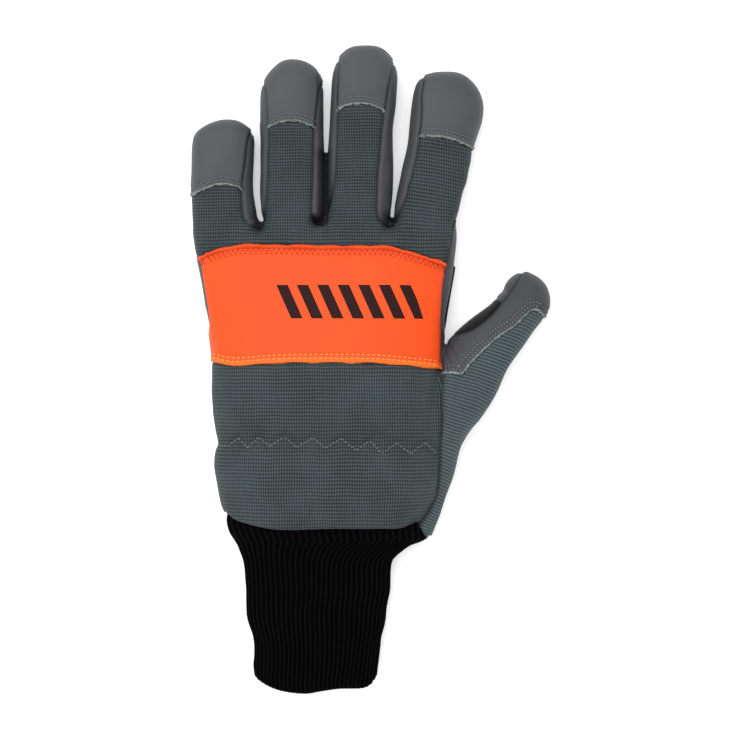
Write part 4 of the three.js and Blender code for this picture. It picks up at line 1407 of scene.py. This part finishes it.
@dataclass
class BackLower(Panel):
    """Foam-backed slate cloth over the back of the hand, quilted once across.

    The depths and widths of its relief are in mm.
    """

    quilt_depth: float = 0.65
    quilt_width: float = 1.5
    hem_roll: float = 3.0
    hem_reach: float = 3.4

    def build(self, skin: Skin) -> bpy.types.Object:
        """Builds the panel."""
        piece = super().build(skin)
        return piece

    def bounds(self, zones: Zones) -> list[np.ndarray]:
        """Returns the panel's edges: side seam, crease seam, band and hem."""
        return [zones.upper, 0.3 * MM - zones.right_of_back,
                self.underlap - zones.band_foot[0], zones.above_hem]

    def seam_gap(self, zones: Zones) -> np.ndarray:
        """Returns the distance to the nearest seam, hem or band edge."""
        return nearest(zones.right_of_back, zones.upper, zones.above_hem + 0.2 * MM,
                       np.abs(zones.band_foot[0]) + 0.2 * MM)

    def relief(self, zones: Zones) -> np.ndarray:
        """Returns the pad's height: its roll at hem and crease, and the quilting dent."""
        quilt, _ = line_distance(zones.points[:, :2], plan(QUILT))
        edge = mm(-zones.right_of_back)
        height = 0.55 * (1 - np.exp(-np.maximum(edge, 0) / 5)) - 0.1
        height += groove(zones.right_of_back, 1.6, 1.7) + groove(zones.upper, 0.8, 1.4)
        height += groove(quilt, self.quilt_depth, self.quilt_width)
        roll = np.clip(1 - mm(zones.above_hem) / self.hem_reach, 0, 1)
        height -= (self.hem_roll * (1 - np.sqrt(1 - roll ** 2))
                   * ramp(mm(zones.upper), 1.0, 9.0))
        height -= 0.5 * ramp(mm(zones.band_foot[0]), -1.0, 0.4)
        height += 0.32 * ripple(zones.points, 24 * MM, 5, (1.7, 1, 1))
        height += 0.10 * ripple(zones.points, 8 * MM, 6, (2, 1, 1))
        return height


@dataclass
class KnuckleBand(Panel):
    """Orange coated band with a folded, puckered upper hem and a stitched lower one.

    The depths of its relief are in mm.
    """

    proud: float = 0.75
    top_roll: float = 1.5
    top_row_depth: float = 0.65
    foot_roll: float = 0.35
    foot_row_depth: float = 0.36

    def bounds(self, zones: Zones) -> list[np.ndarray]:
        """Returns the band's edges, the upper one a little wavy as sewn."""
        wave = 0.4 * np.sin(mm(zones.band_top[1]) / 1.9) + 0.3 * np.sin(mm(zones.band_top[1]) / 4.7)
        foot = 0.22 * np.sin(mm(zones.band_foot[1]) / 2.6 + 1)
        return [zones.upper, 0.1 * MM - zones.right_of_back,
                (wave - 0.2) * MM - zones.band_top[0],
                zones.band_foot[0] + foot * MM, 0.1 * MM - zones.little_wrap]

    def seam_gap(self, zones: Zones) -> np.ndarray:
        """Returns the distance to the side seams for their painted shade; the hems get no such dark
        line.
        """
        return nearest(zones.right_of_back, zones.upper) + 0.25 * MM

    def row_gap(self, zones: Zones) -> np.ndarray:
        """Returns the distance to the nearest of the rows along both hems."""
        return np.minimum(rows_gap(-zones.band_top[0], BAND_TOP_ROWS),
                          rows_gap(zones.band_foot[0], BAND_FOOT_ROWS) + 0.25 * MM)

    def relief(self, zones: Zones) -> np.ndarray:
        """Returns the band's height: both hems, the sewn valleys and their puckers."""
        top, foot = mm(-zones.band_top[0]), mm(zones.band_foot[0])
        run, low = mm(zones.band_top[1]), mm(zones.band_foot[1])
        height = np.full(len(top), self.proud)
        uneven = 0.8 + 0.35 * np.sin(run / 3.1 + 1.0) + 0.25 * ripple(zones.points, 7 * MM, 9)
        height += self.top_roll * uneven * bump(top - 0.9, 0.9)
        height += 0.22 * np.sin(run * 2 * math.pi / 2.9 + top * 1.4) * bump(top - 1.2, 1.0)
        for at in BAND_TOP_ROWS:
            pucker = 0.75 + 0.25 * np.cos(run * 2 * math.pi / BAND_PITCH)
            height -= self.top_row_depth * pucker * bump(top - at, 0.5)
        height += self.foot_roll * bump(foot - 0.9, 0.8)
        height += 0.10 * np.sin(low * 2 * math.pi / 3.1 - foot * 1.2) * bump(foot - 0.9, 0.9)
        for at in BAND_FOOT_ROWS:
            pucker = 0.7 + 0.3 * np.cos(low * 2 * math.pi / BAND_PITCH)
            height -= self.foot_row_depth * pucker * bump(foot - at, 0.45)
        height -= (self.proud * (1 - ramp(top, -0.5, 0.6))
                   + self.proud * (1 - ramp(foot, -0.2, 0.7)))
        inner = np.minimum(top - 4.5, foot - 4.5)
        height += 0.35 * (1 - np.exp(-np.maximum(inner, 0) / 7))
        height += groove(zones.right_of_back, 0.9, 1.0) + groove(zones.upper, 0.6, 1.0)
        height += 0.25 * ripple(zones.points, 26 * MM, 8, (1, 1.6, 1))
        return height


class ThumbGusset(Panel):
    """Ribbed slate cloth from the crease seam to the outside of the thumb."""

    def bounds(self, zones: Zones) -> list[np.ndarray]:
        """Returns the panel's edges: crease seam, saddle, side seam and hem."""
        return [zones.upper, 0.3 * MM + zones.right_of_back,
                self.underlap - zones.saddle_edge[0], zones.above_hem]

    def seam_gap(self, zones: Zones) -> np.ndarray:
        """Returns the distance to the crease seam, the saddle and the side seam."""
        return nearest(zones.right_of_back, zones.upper,
                       np.abs(zones.saddle_edge[0]) + 0.2 * MM)

    def relief(self, zones: Zones) -> np.ndarray:
        """Returns the cloth's height: the crease, a soft roll beside it, and folds."""
        inward = mm(zones.right_of_back)
        height = groove(zones.right_of_back, 1.3, 1.5) + 0.5 * bump(inward - 4.5, 2.4)
        height += groove(zones.upper, 0.6, 1.1) - 0.1
        height -= 0.5 * ramp(mm(zones.saddle_edge[0]), -1.0, 0.4)
        roll = np.clip(1 - mm(zones.above_hem) / 1.6, 0, 1)
        height -= 1.2 * (1 - np.sqrt(1 - roll ** 2))
        height += creases(zones.points, GUSSET_FOLDS)
        height += 0.25 * ripple(zones.points, 16 * MM, 12)
        return height


@dataclass
class RawLeather(Panel):
    """Grey leather cut raw along one edge and stitched down beside it; sizes in mm."""

    rows: tuple[float, ...] = ()
    proud: float = 0.6
    bevel: float = 0.9
    lip: float = 0.22
    row_depth: float = 0.28
    row_width: float = 0.45

    def edge(self, zones: Zones) -> np.ndarray:
        """Returns how far points lie beyond the raw edge."""
        raise NotImplementedError

    def raw_gap(self, zones: Zones) -> np.ndarray:
        """Returns the distance to the raw edge."""
        return np.abs(self.edge(zones))

    def row_gap(self, zones: Zones) -> np.ndarray:
        """Returns the distance to the nearest of the rows beside the raw edge."""
        return rows_gap(self.edge(zones), self.rows)

    def cut_edge(self, zones: Zones) -> np.ndarray:
        """Returns the leather's height with its bevelled cut edge and sewn valleys."""
        edge = mm(self.edge(zones))
        height = (self.proud - self.proud * (1 - ramp(edge, -0.3, self.bevel))
                  + self.lip * bump(edge - self.bevel, 0.5))
        for row in self.rows:
            height -= self.row_depth * bump(edge - row, self.row_width)
        return height


@dataclass
class ThumbLeather(RawLeather):
    """Grey leather saddle and thumb back, cut raw along its lower edge."""

    rows: tuple[float, ...] = SADDLE_ROWS
    proud: float = 0.65
    bevel: float = 1.0
    lip: float = 0.2
    row_depth: float = 0.32
    row_width: float = 0.5

    def edge(self, zones: Zones) -> np.ndarray:
        """Returns how far points lie inside the saddle's raw edge."""
        return zones.saddle_edge[0]

    def bounds(self, zones: Zones) -> list[np.ndarray]:
        """Returns the panel's edges: raw edge, thumb seam, crease seam, side seam."""
        return [zones.upper, 0.2 * MM + zones.right_of_back,
                zones.saddle_edge[0] + (fray(zones.points, 43) + 0.1) * MM,
                0.2 * MM - zones.above_thumb_seam]

    def seam_gap(self, zones: Zones) -> np.ndarray:
        """Returns the distance to the thumb seam and the crease seam."""
        return nearest(zones.above_thumb_seam, zones.upper, zones.right_of_back)

    def relief(self, zones: Zones) -> np.ndarray:
        """Returns the leather's height: bevelled cut edge, sewn valleys, creases."""
        height = self.cut_edge(zones)
        height += groove(zones.above_thumb_seam, 0.7, 0.8)
        height += 0.15 * bump(mm(zones.above_thumb_seam) + 1.6, 0.8)
        height += groove(zones.right_of_back, 1.0, 1.0) + groove(zones.upper, 0.6, 1.0)
        height += creases(zones.points, SADDLE_FOLDS)
        height += 0.18 * ripple(zones.points, 12 * MM, 15)
        return height


@dataclass
class FingerCap(RawLeather):
    """Grey leather over a fingertip, cut raw along its arched lower edge."""

    rows: tuple[float, ...] = CAP_ROWS

    def edge(self, zones: Zones) -> np.ndarray:
        """Returns how far points lie beyond this cap's raw edge."""
        return zones.caps[self.name]

    def bounds(self, zones: Zones) -> list[np.ndarray]:
        """Returns the panel's edges: raw edge, side seams of the finger, side seam."""
        return [zones.upper, 0.2 * MM - zones.side,
                self.edge(zones) + (fray(zones.points, 41) + 0.1) * MM]

    def seam_gap(self, zones: Zones) -> np.ndarray:
        """Returns the distance to the seams with the side walls and the palm."""
        return nearest(zones.side, zones.upper)

    def relief(self, zones: Zones) -> np.ndarray:
        """Returns the leather's height: bevelled cut edge, sewn valleys, side lips."""
        height = self.cut_edge(zones)
        height += groove(zones.side, 0.75, 0.65) + 0.12 * bump(mm(zones.side) + 1.5, 0.7)
        height += groove(zones.upper, 0.6, 0.8)
        height += 0.10 * ripple(zones.points, 10 * MM, 17)
        return height


class FingerSide(Panel):
    """Leather wall between two fingers, down one and up the next, coloured a little darker as
    painted shade.
    """

    def bounds(self, zones: Zones) -> list[np.ndarray]:
        """Returns the panel's edges: the seam to the finger backs and to the palm."""
        return [zones.upper, zones.sides[self.name] + 0.2 * MM]

    def seam_gap(self, zones: Zones) -> np.ndarray:
        """Returns the distance to its seams and to the line where two fingers touch; painted shade
        darkens both.
        """
        touching, _ = line_distance(zones.points[:, :2], smooth_line(TOUCHING))
        return nearest(super().seam_gap(zones), touching)

    def relief(self, zones: Zones) -> np.ndarray:
        """Returns the leather's height, with soft cross wrinkles near the crotch."""
        side = zones.sides[self.name]
        height = groove(side, 0.8, 0.7) + groove(zones.upper, 0.6, 0.9)
        low = ramp(mm(zones.points[:, 1]), 78.0, 62.0)
        height += 0.35 * low * ripple(zones.points, 5 * MM, 21)
        height += 0.10 * ripple(zones.points, 9 * MM, 22)
        return height


class Palm(Panel):
    """Grey leather underside, which comes up beside the band and inside the thumb."""

    def bounds(self, zones: Zones) -> list[np.ndarray]:
        """Returns the palm's edges: side seam or wrap, both reinforcements, and hem."""
        return [np.maximum(0.2 * MM - zones.upper, zones.wrap + 0.2 * MM),
                0.2 * MM - zones.palm_patch, 0.1 * MM - zones.thumb_patch,
                zones.above_hem + 2 * MM * ramp(mm(zones.upper), -6.0, -7.0)]

    def seam_gap(self, zones: Zones) -> np.ndarray:
        """Returns the distance to the nearest seam that shows."""
        shown = np.where(zones.wrap > -2 * MM, np.abs(zones.wrap), np.abs(zones.upper))
        return np.minimum(shown, np.abs(zones.thumb_patch) + 0.1 * MM)

    def relief(self, zones: Zones) -> np.ndarray:
        """Returns the leather's height: sunk seams, and slack where it rests."""
        height = groove(self.seam_gap(zones), 0.7, 0.9)
        height += 0.3 * ramp(mm(zones.wrap), -3.0, 0.0)
        height -= 0.3 * np.abs(ripple(zones.points, 17 * MM, 31))
        return height


class PalmPatch(Panel):
    """Black suede over the palm, whose edge shows at the index side."""

    def bounds(self, zones: Zones) -> list[np.ndarray]:
        """Returns the patch's edge."""
        return [zones.palm_patch,
                np.maximum(0.2 * MM - zones.upper, zones.wrap + 0.2 * MM)]

    def relief(self, zones: Zones) -> np.ndarray:
        """Returns the patch's height: proud of the leather, thinner at its edge."""
        return 0.2 + 0.9 * ramp(mm(zones.palm_patch), -0.2, 0.8)


class ThumbPatch(Panel):
    """Black suede strip on the inner side of the thumb."""

    def bounds(self, zones: Zones) -> list[np.ndarray]:
        """Returns the strip's edges."""
        return [zones.thumb_patch, zones.wrap + 0.2 * MM]

    def relief(self, zones: Zones) -> np.ndarray:
        """Returns the strip's height, proud of the leather and sunk at the seam."""
        return (0.25 * ramp(mm(zones.thumb_patch), 0, 1.2)
                + groove(zones.above_thumb_seam, 0.8, 0.8))


# The wrist

CUFF = (
    Section(0.085, -0.366, 0.372, 0.12, 0.78),
    Section(0.050, -0.368, 0.378, 0.09, 0.80),
    Section(0.0, -0.3617, 0.3766, 0.08, 0.71),
    Section(-0.0325, -0.3431, 0.3729, 0.0, 0.64),
    Section(-0.0487, -0.3319, 0.3244, 0.0, 0.60),
    Section(-0.0649, -0.3244, 0.2946, 0.0, 0.585),
    Section(-0.0974, -0.3095, 0.2536, 0.0, 0.56),
    Section(-0.1299, -0.3020, 0.2461, 0.0, 0.55),
    Section(-0.1624, -0.2983, 0.2461, 0.0, 0.545),
    Section(-0.1948, -0.2946, 0.2461, 0.0, 0.54),
    Section(-0.2273, -0.2946, 0.2386, 0.0, 0.53),
    Section(-0.2598, -0.2946, 0.2312, 0.0, 0.525),
    Section(-0.2923, -0.2927, 0.2275, 0.0, 0.52),
    Section(-0.3247, -0.2834, 0.2200, 0.0, 0.515),
    Section(-0.3572, -0.2722, 0.2088, 0.0, 0.51),
    Section(-0.3897, -0.2685, 0.2051, 0.0, 0.50),
    Section(-0.4221, -0.2685, 0.2014, 0.0, 0.48),
    Section(-0.4546, -0.2703, 0.1976, 0.01, 0.46),
    Section(-0.4750, -0.2660, 0.1955, 0.03, 0.435),
)
MOUTH = (
    Spot(-0.295, -0.460), Spot(-0.272, -0.468), Spot(-0.259, -0.487), Spot(-0.201, -0.513),
    Spot(-0.142, -0.526), Spot(-0.069, -0.531), Spot(-0.011, -0.523), Spot(0.045, -0.516),
    Spot(0.082, -0.515), Spot(0.149, -0.515), Spot(0.183, -0.500), Spot(0.198, -0.477),
    Spot(0.220, -0.465),
)


@dataclass
class RibCuff:
    """Black rib-knit wrist: one tube, folded back inside itself at the mouth."""

    name: str = "rib_cuff"
    look: Look = Look.KNIT
    ribs: int = 64
    points_per_rib: int = 7
    depth: float = 0.8 * MM
    wall: float = 2.4 * MM
    crown: float = 2.2
    sole: float = 2.8
    length_share: float = 0.525
    wobble: float = 0.0016
    sway: float = 0.25 * MM
    tuck: float = 2.6 * MM
    hem_tuck: float = 0.5 * MM
    outer_rows: int = 84
    roll_rows: int = 6
    inner_rows: int = 22

    def profile(self) -> np.ndarray:
        """Returns the rows from inside the hem, down, round the mouth and back in.

        Returns:
            For each row its place in the table of sections from 0 to 1, how far it lies
            inside the outer skin, and its share of the ribs' depth.
        """
        rows = [(t, 0.0, 1.0) for t in np.linspace(0, 1, self.outer_rows)]
        for angle in np.linspace(0, math.pi, self.roll_rows + 2)[1:-1]:
            inside = self.wall / 2 * (1 - math.cos(angle))
            past = 1 + self.wall / 2 * math.sin(angle) / (self.length_share * BACK_LENGTH)
            rows.append((past, inside, 1 - 0.6 * angle / math.pi))
        rows += [(t, self.wall, 0.4) for t in np.linspace(1, 0, self.inner_rows)]
        return np.array(rows)

    def section(self, table: np.ndarray, t: float) -> np.ndarray:
        """Returns one row of the smooth table of sections at a share of its length."""
        share = (table[0, 0] - table[:, 0]) / (table[0, 0] - table[-1, 0])
        return np.array([np.interp(min(t, 1.0), share, column) for column in table.T])

    def ring(self, half: float, low: float, high: float, turns: np.ndarray) -> np.ndarray:
        """Returns an oval's points and outward ways at equal steps round it.

        Args:
            half: Half the oval's width.
            low: Its lowest height.
            high: Its highest height.
            turns: Shares of the way round, from 0 to 1.

        Returns:
            Sideways place, height, and the two parts of the outward way.
        """
        centre = (low + high) / 2
        angle = np.linspace(0, 2 * math.pi, 721)
        cos, sin = np.cos(angle), np.sin(angle)
        power = np.where(sin >= 0, 2 / self.crown, 2 / self.sole)
        side = half * np.sign(cos) * np.abs(cos) ** power
        rise = np.maximum(centre + (high - low) / 2 * np.sign(sin) * np.abs(sin) ** power, 0)
        step = np.hypot(np.diff(side), np.diff(rise))
        length = np.concatenate([[0], np.cumsum(step)])
        wanted = (turns % 1.0) * length[-1]
        x, z = np.interp(wanted, length, side), np.interp(wanted, length, rise)
        ahead = (turns + 0.004) % 1.0 * length[-1]
        behind = (turns - 0.004) % 1.0 * length[-1]
        dx = np.interp(ahead, length, side) - np.interp(behind, length, side)
        dz = np.interp(ahead, length, rise) - np.interp(behind, length, rise)
        size = np.hypot(dx, dz) + 1e-12
        return np.column_stack([x, z, dz / size, -dx / size])

    def build(self) -> bpy.types.Object:
        profile = self.profile()
        around = self.ribs * self.points_per_rib
        bm = bmesh.new()
        bmesh.ops.create_grid(bm, x_segments=around, y_segments=len(profile) - 1, size=0.5)
        flat = np.array([vert.co[:2] for vert in bm.verts]) + 0.5
        rows = np.rint(flat[:, 1] * (len(profile) - 1)).astype(int)
        table = spline(np.array(CUFF) * SECTION_SCALE, 1.5 * MM)
        mouth, hem = smooth_line(MOUTH), smooth_line(WRIST_HEM)
        place = np.zeros((len(flat), 3))
        for number, (t, inside, ribbing) in enumerate(profile):
            mine = rows == number
            turns = flat[mine, 0]
            along, left, right, bottom, top = self.section(table, t)
            wobble = self.wobble * np.sin(along / (9 * MM) + turns * 25) * min(1.0, 4 * t)
            ribbed = self.depth * (0.5 - 0.5 * np.cos(2 * math.pi * self.ribs * turns))
            ring = self.ring((right - left) / 2, bottom, top, turns + wobble)
            x = (left + right) / 2 + ring[:, 0] + FRAME_SHIFT[0]
            y = np.full(len(x), along + FRAME_SHIFT[1])
            # The mouth is rounded: its middle reaches further down the arm.
            target = np.interp(x, mouth[:, 0], mouth[:, 1])
            level = table[-1, 0] + FRAME_SHIFT[1]
            y += (target + 1.2 * MM - level) * ramp(np.array([t]), 0.55, 1.0)[0]
            if t > 1:
                y -= (t - 1) * self.length_share * BACK_LENGTH
            # Above the hem the knit runs on inside the glove.
            above = y - np.interp(x, hem[:, 0], hem[:, 1])
            tucked = (self.tuck * ramp(above, 0.9 * MM, 3.2 * MM)
                      + self.hem_tuck * ramp(above, -2 * MM, 0.5 * MM))
            pull = inside + ribbed * ribbing + tucked
            place[mine] = np.column_stack([
                x - ring[:, 2] * pull, y, ring[:, 1] - ring[:, 3] * pull])
        place[:, 0] += self.sway * np.sin(place[:, 1] / (7 * MM)) * (rows > 10)
        place[:, 2] = np.maximum(place[:, 2], 0.0)
        layer = bm.loops.layers.uv.new("mm")
        for vert in bm.verts:
            u = flat[vert.index, 0] * self.ribs
            for loop in vert.link_loops:
                loop[layer].uv = (u, place[vert.index, 1] / MM)
        for vert in bm.verts:
            vert.co = Vector(place[vert.index])
        bmesh.ops.remove_doubles(bm, verts=bm.verts[:], dist=1e-6)
        bm.normal_update()
        bmesh.ops.recalc_face_normals(bm, faces=bm.faces[:])
        open_edges = [edge for edge in bm.edges if edge.is_boundary]
        bmesh.ops.bridge_loops(bm, edges=open_edges)
        bmesh.ops.recalc_face_normals(bm, faces=bm.faces[:])
        mesh = bpy.data.meshes.new(self.name)
        bm.to_mesh(mesh)
        bm.free()
        mesh.shade_smooth()
        piece = placed(f"{self.name}_knit", mesh)
        self.look.dress(piece)
        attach(piece, "root")
        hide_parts(self.name)
        LOG.info("%s: %d faces", self.name, len(mesh.polygons))
        return piece


# Topstitching

@dataclass
class Stitching:
    """A row or more of stitches laid along lines on the pieces below them."""

    name: str
    look: Look
    lines: Sequence[np.ndarray]
    pitch: float
    length: float
    radius: float = 0.26 * MM
    sink: float = 0.05 * MM

    def build(self, ground: BVHTree) -> bpy.types.Object:
        """Args:
            ground: The surfaces that the stitches are pulled down on.

        Returns:
            The finished piece.
        """
        bm = bmesh.new()
        for line in self.lines:
            steps = np.hypot(*np.diff(line, axis=0).T)
            run = np.concatenate([[0], np.cumsum(steps)])
            for place in np.arange(self.pitch / 2, run[-1], self.pitch):
                ends = [self.ground_at(ground, line, run, place + side * self.length / 2)
                        for side in (-1, 1)]
                if None in ends or (ends[1] - ends[0]).length > 3 * self.length:
                    continue
                bmesh.ops.create_uvsphere(bm, u_segments=8, v_segments=5, radius=1,
                                          matrix=self.lay(*ends))
        mesh = bpy.data.meshes.new(self.name)
        bm.to_mesh(mesh)
        bm.free()
        mesh.shade_smooth()
        piece = placed(self.name, mesh)
        self.look.dress(piece)
        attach(piece, "root")
        LOG.info("%s: %d faces", self.name, len(mesh.polygons))
        return piece

    def ground_at(self, ground: BVHTree, line: np.ndarray, run: np.ndarray,
                  place: float) -> Vector | None:
        """Returns the point of the ground under a place along a line, if there is one."""
        x, y = np.interp(place, run, line[:, 0]), np.interp(place, run, line[:, 1])
        hit, _, _, _ = ground.ray_cast(Vector((x, y, 0.2)), Vector((0, 0, -1)))
        return hit if hit is not None and hit.z > 2 * MM else None

    def lay(self, start: Vector, end: Vector) -> Matrix:
        """Returns how one stitch is sized, turned and placed between two points."""
        middle = (start + end) / 2 + Vector((0, 0, self.radius - self.sink))
        turn = Vector((1, 0, 0)).rotation_difference(end - start).to_matrix().to_4x4()
        shape = Matrix.Diagonal((self.length / 2, self.radius, self.radius, 1))
        return Matrix.Translation(middle) @ turn @ shape


def beside(line: np.ndarray, distance: float) -> np.ndarray:
    """Returns a line moved sideways, to its left as it runs."""
    ahead = np.gradient(line, axis=0)
    ahead /= np.linalg.norm(ahead, axis=1)[:, None]
    return line + np.column_stack([-ahead[:, 1], ahead[:, 0]]) * distance


def within(line: np.ndarray, start: float, end: float) -> np.ndarray:
    """Returns the part of a line between two places across, in shares of the width."""
    across = (line[:, 0] - FRAME_SHIFT[0]) / HAND_WIDTH
    return line[(across > start) & (across < end)]


def topstitching() -> list[Stitching]:
    """Returns every visible row of stitches."""
    fine = 0.5 * MM
    top = within(smooth_line(BAND_TOP, fine), -0.475, 0.455)
    foot = within(smooth_line(BAND_BOTTOM, fine), -0.425, 0.425)
    caps = []
    for edge, left, right in ((CAP_LITTLE, -0.485, -0.31), (CAP_RING, -0.208, -0.042),
                              (CAP_MIDDLE, 0.05, 0.218), (CAP_INDEX, 0.353, 0.545)):
        line = within(smooth_line(edge, fine), left, right)
        caps += [beside(line, row * MM) for row in CAP_ROWS]
    saddle = within(smooth_line(SADDLE_EDGE, fine), 0.44, 0.79)
    return [
        Stitching("stitches_band_top", Look.ORANGE_THREAD,
                  [beside(top, -row * MM) for row in BAND_TOP_ROWS],
                  BAND_PITCH * MM, 1.7 * MM,
                  0.3 * MM),
        Stitching("stitches_band_foot", Look.YELLOW_THREAD,
                  [beside(foot, row * MM) for row in BAND_FOOT_ROWS],
                  BAND_PITCH * MM, 1.75 * MM,
                  0.3 * MM),
        Stitching("stitches_caps", Look.GREY_THREAD, caps, 1.2 * MM, 0.85 * MM, 0.21 * MM),
        Stitching("stitches_saddle", Look.GREY_THREAD,
                  [beside(saddle, row * MM) for row in SADDLE_ROWS],
                  1.5 * MM, 1.05 * MM, 0.23 * MM),
        Stitching("stitches_quilting", Look.GREY_THREAD,
                  [spline(plan(QUILT)[i:i + 2], fine) for i in range(len(QUILT) - 1)],
                  1.7 * MM, 1.25 * MM, 0.2 * MM),
    ]


# Stage

@dataclass
class Studio:
    """Pale floor, soft even light from above, and the camera of the photograph."""

    floor_size: float = 16.0
    floor_drop: float = 0.02 * MM
    camera_from: tuple[float, float, float] = (0.15 * MM, -0.13 * MM, 0.9164)
    lens: float = 100.0
    sensor: float = 36.0
    sky: float = 0.66
    lamp_power: float = 1.9
    lamp_spread: float = 70.0
    lamp_from: tuple[float, float, float] = (-0.30, 0.26, 1.0)

    def build(self) -> None:
        """Sets up floor, lights, world and camera."""
        mesh = bpy.data.meshes.new("floor")
        bm = bmesh.new()
        bmesh.ops.create_grid(bm, x_segments=1, y_segments=1, size=self.floor_size / 2)
        bm.to_mesh(mesh)
        bm.free()
        mesh.materials.append(Backdrop("white_paper", "fbfbfb", 0.9).build())
        floor = placed("floor", mesh)
        floor.location.z = -self.floor_drop
        world = bpy.data.worlds.new("studio")
        world.use_nodes = True
        sky = world.node_tree.nodes["Background"]
        sky.inputs["Color"].default_value = (1, 1, 1, 1)
        sky.inputs["Strength"].default_value = self.sky
        bpy.context.scene.world = world
        bpy.context.scene.view_settings.view_transform = "Standard"
        lamp = bpy.data.lights.new("overhead", "SUN")
        lamp.energy = self.lamp_power
        lamp.angle = math.radians(self.lamp_spread)
        overhead = placed("overhead", lamp)
        overhead.location = self.lamp_from
        overhead.rotation_euler = Vector(self.lamp_from).to_track_quat("Z", "Y").to_euler()
        view = bpy.data.cameras.new("camera")
        view.lens = self.lens
        view.sensor_width = self.sensor
        camera = placed("camera", view)
        camera.location = self.camera_from
        bpy.context.scene.camera = camera


def panels() -> list[Panel]:
    """Returns the glove's sewn panels."""
    return [
        BackUpper("back_upper", Look.FINGER_WEAVE),
        KnuckleBand("knuckle_band", Look.BAND, 1.1 * MM),
        BackLower("back_lower", Look.WEAVE, 1.8 * MM),
        ThumbGusset("thumb_gusset", Look.GUSSET),
        ThumbLeather("thumb_leather", Look.THUMB_LEATHER, 1.0 * MM),
        *(FingerCap(name, Look.LEATHER, 0.9 * MM) for name in
          ("cap_little", "cap_ring", "cap_middle", "cap_index")),
        *(FingerSide(name, Look.SIDE_LEATHER, 1.1 * MM) for name in
          ("side_little_ring", "side_ring_middle", "side_middle_index")),
        PalmPatch("palm_patch", Look.SUEDE, 1.2 * MM),
        ThumbPatch("thumb_patch", Look.SUEDE, 1.1 * MM),
    ]


def ground_of(pieces: Sequence[bpy.types.Object]) -> BVHTree:
    """Returns the pieces' surfaces joined for laying stitches on."""
    points: list = []
    faces: list = []
    for piece in pieces:
        first = len(points)
        points += [vert.co.copy() for vert in piece.data.vertices]
        faces += [[first + i for i in face.vertices] for face in piece.data.polygons]
    return BVHTree.FromPolygons(points, faces)


def main() -> None:
    """Builds the glove piece by piece, then the studio round it."""
    fine = Skin()
    fine.build()
    coarse = Skin(grid=0.85 * MM, smoothing=7)
    coarse.build()
    sewn = [panel.build(fine) for panel in panels()]
    Palm("palm", Look.LEATHER, 1.2 * MM).build(coarse)
    RibCuff().build()
    ground = ground_of(sewn)
    for row in topstitching():
        row.build(ground)
    Studio().build()


if __name__ == "__main__":
    main()
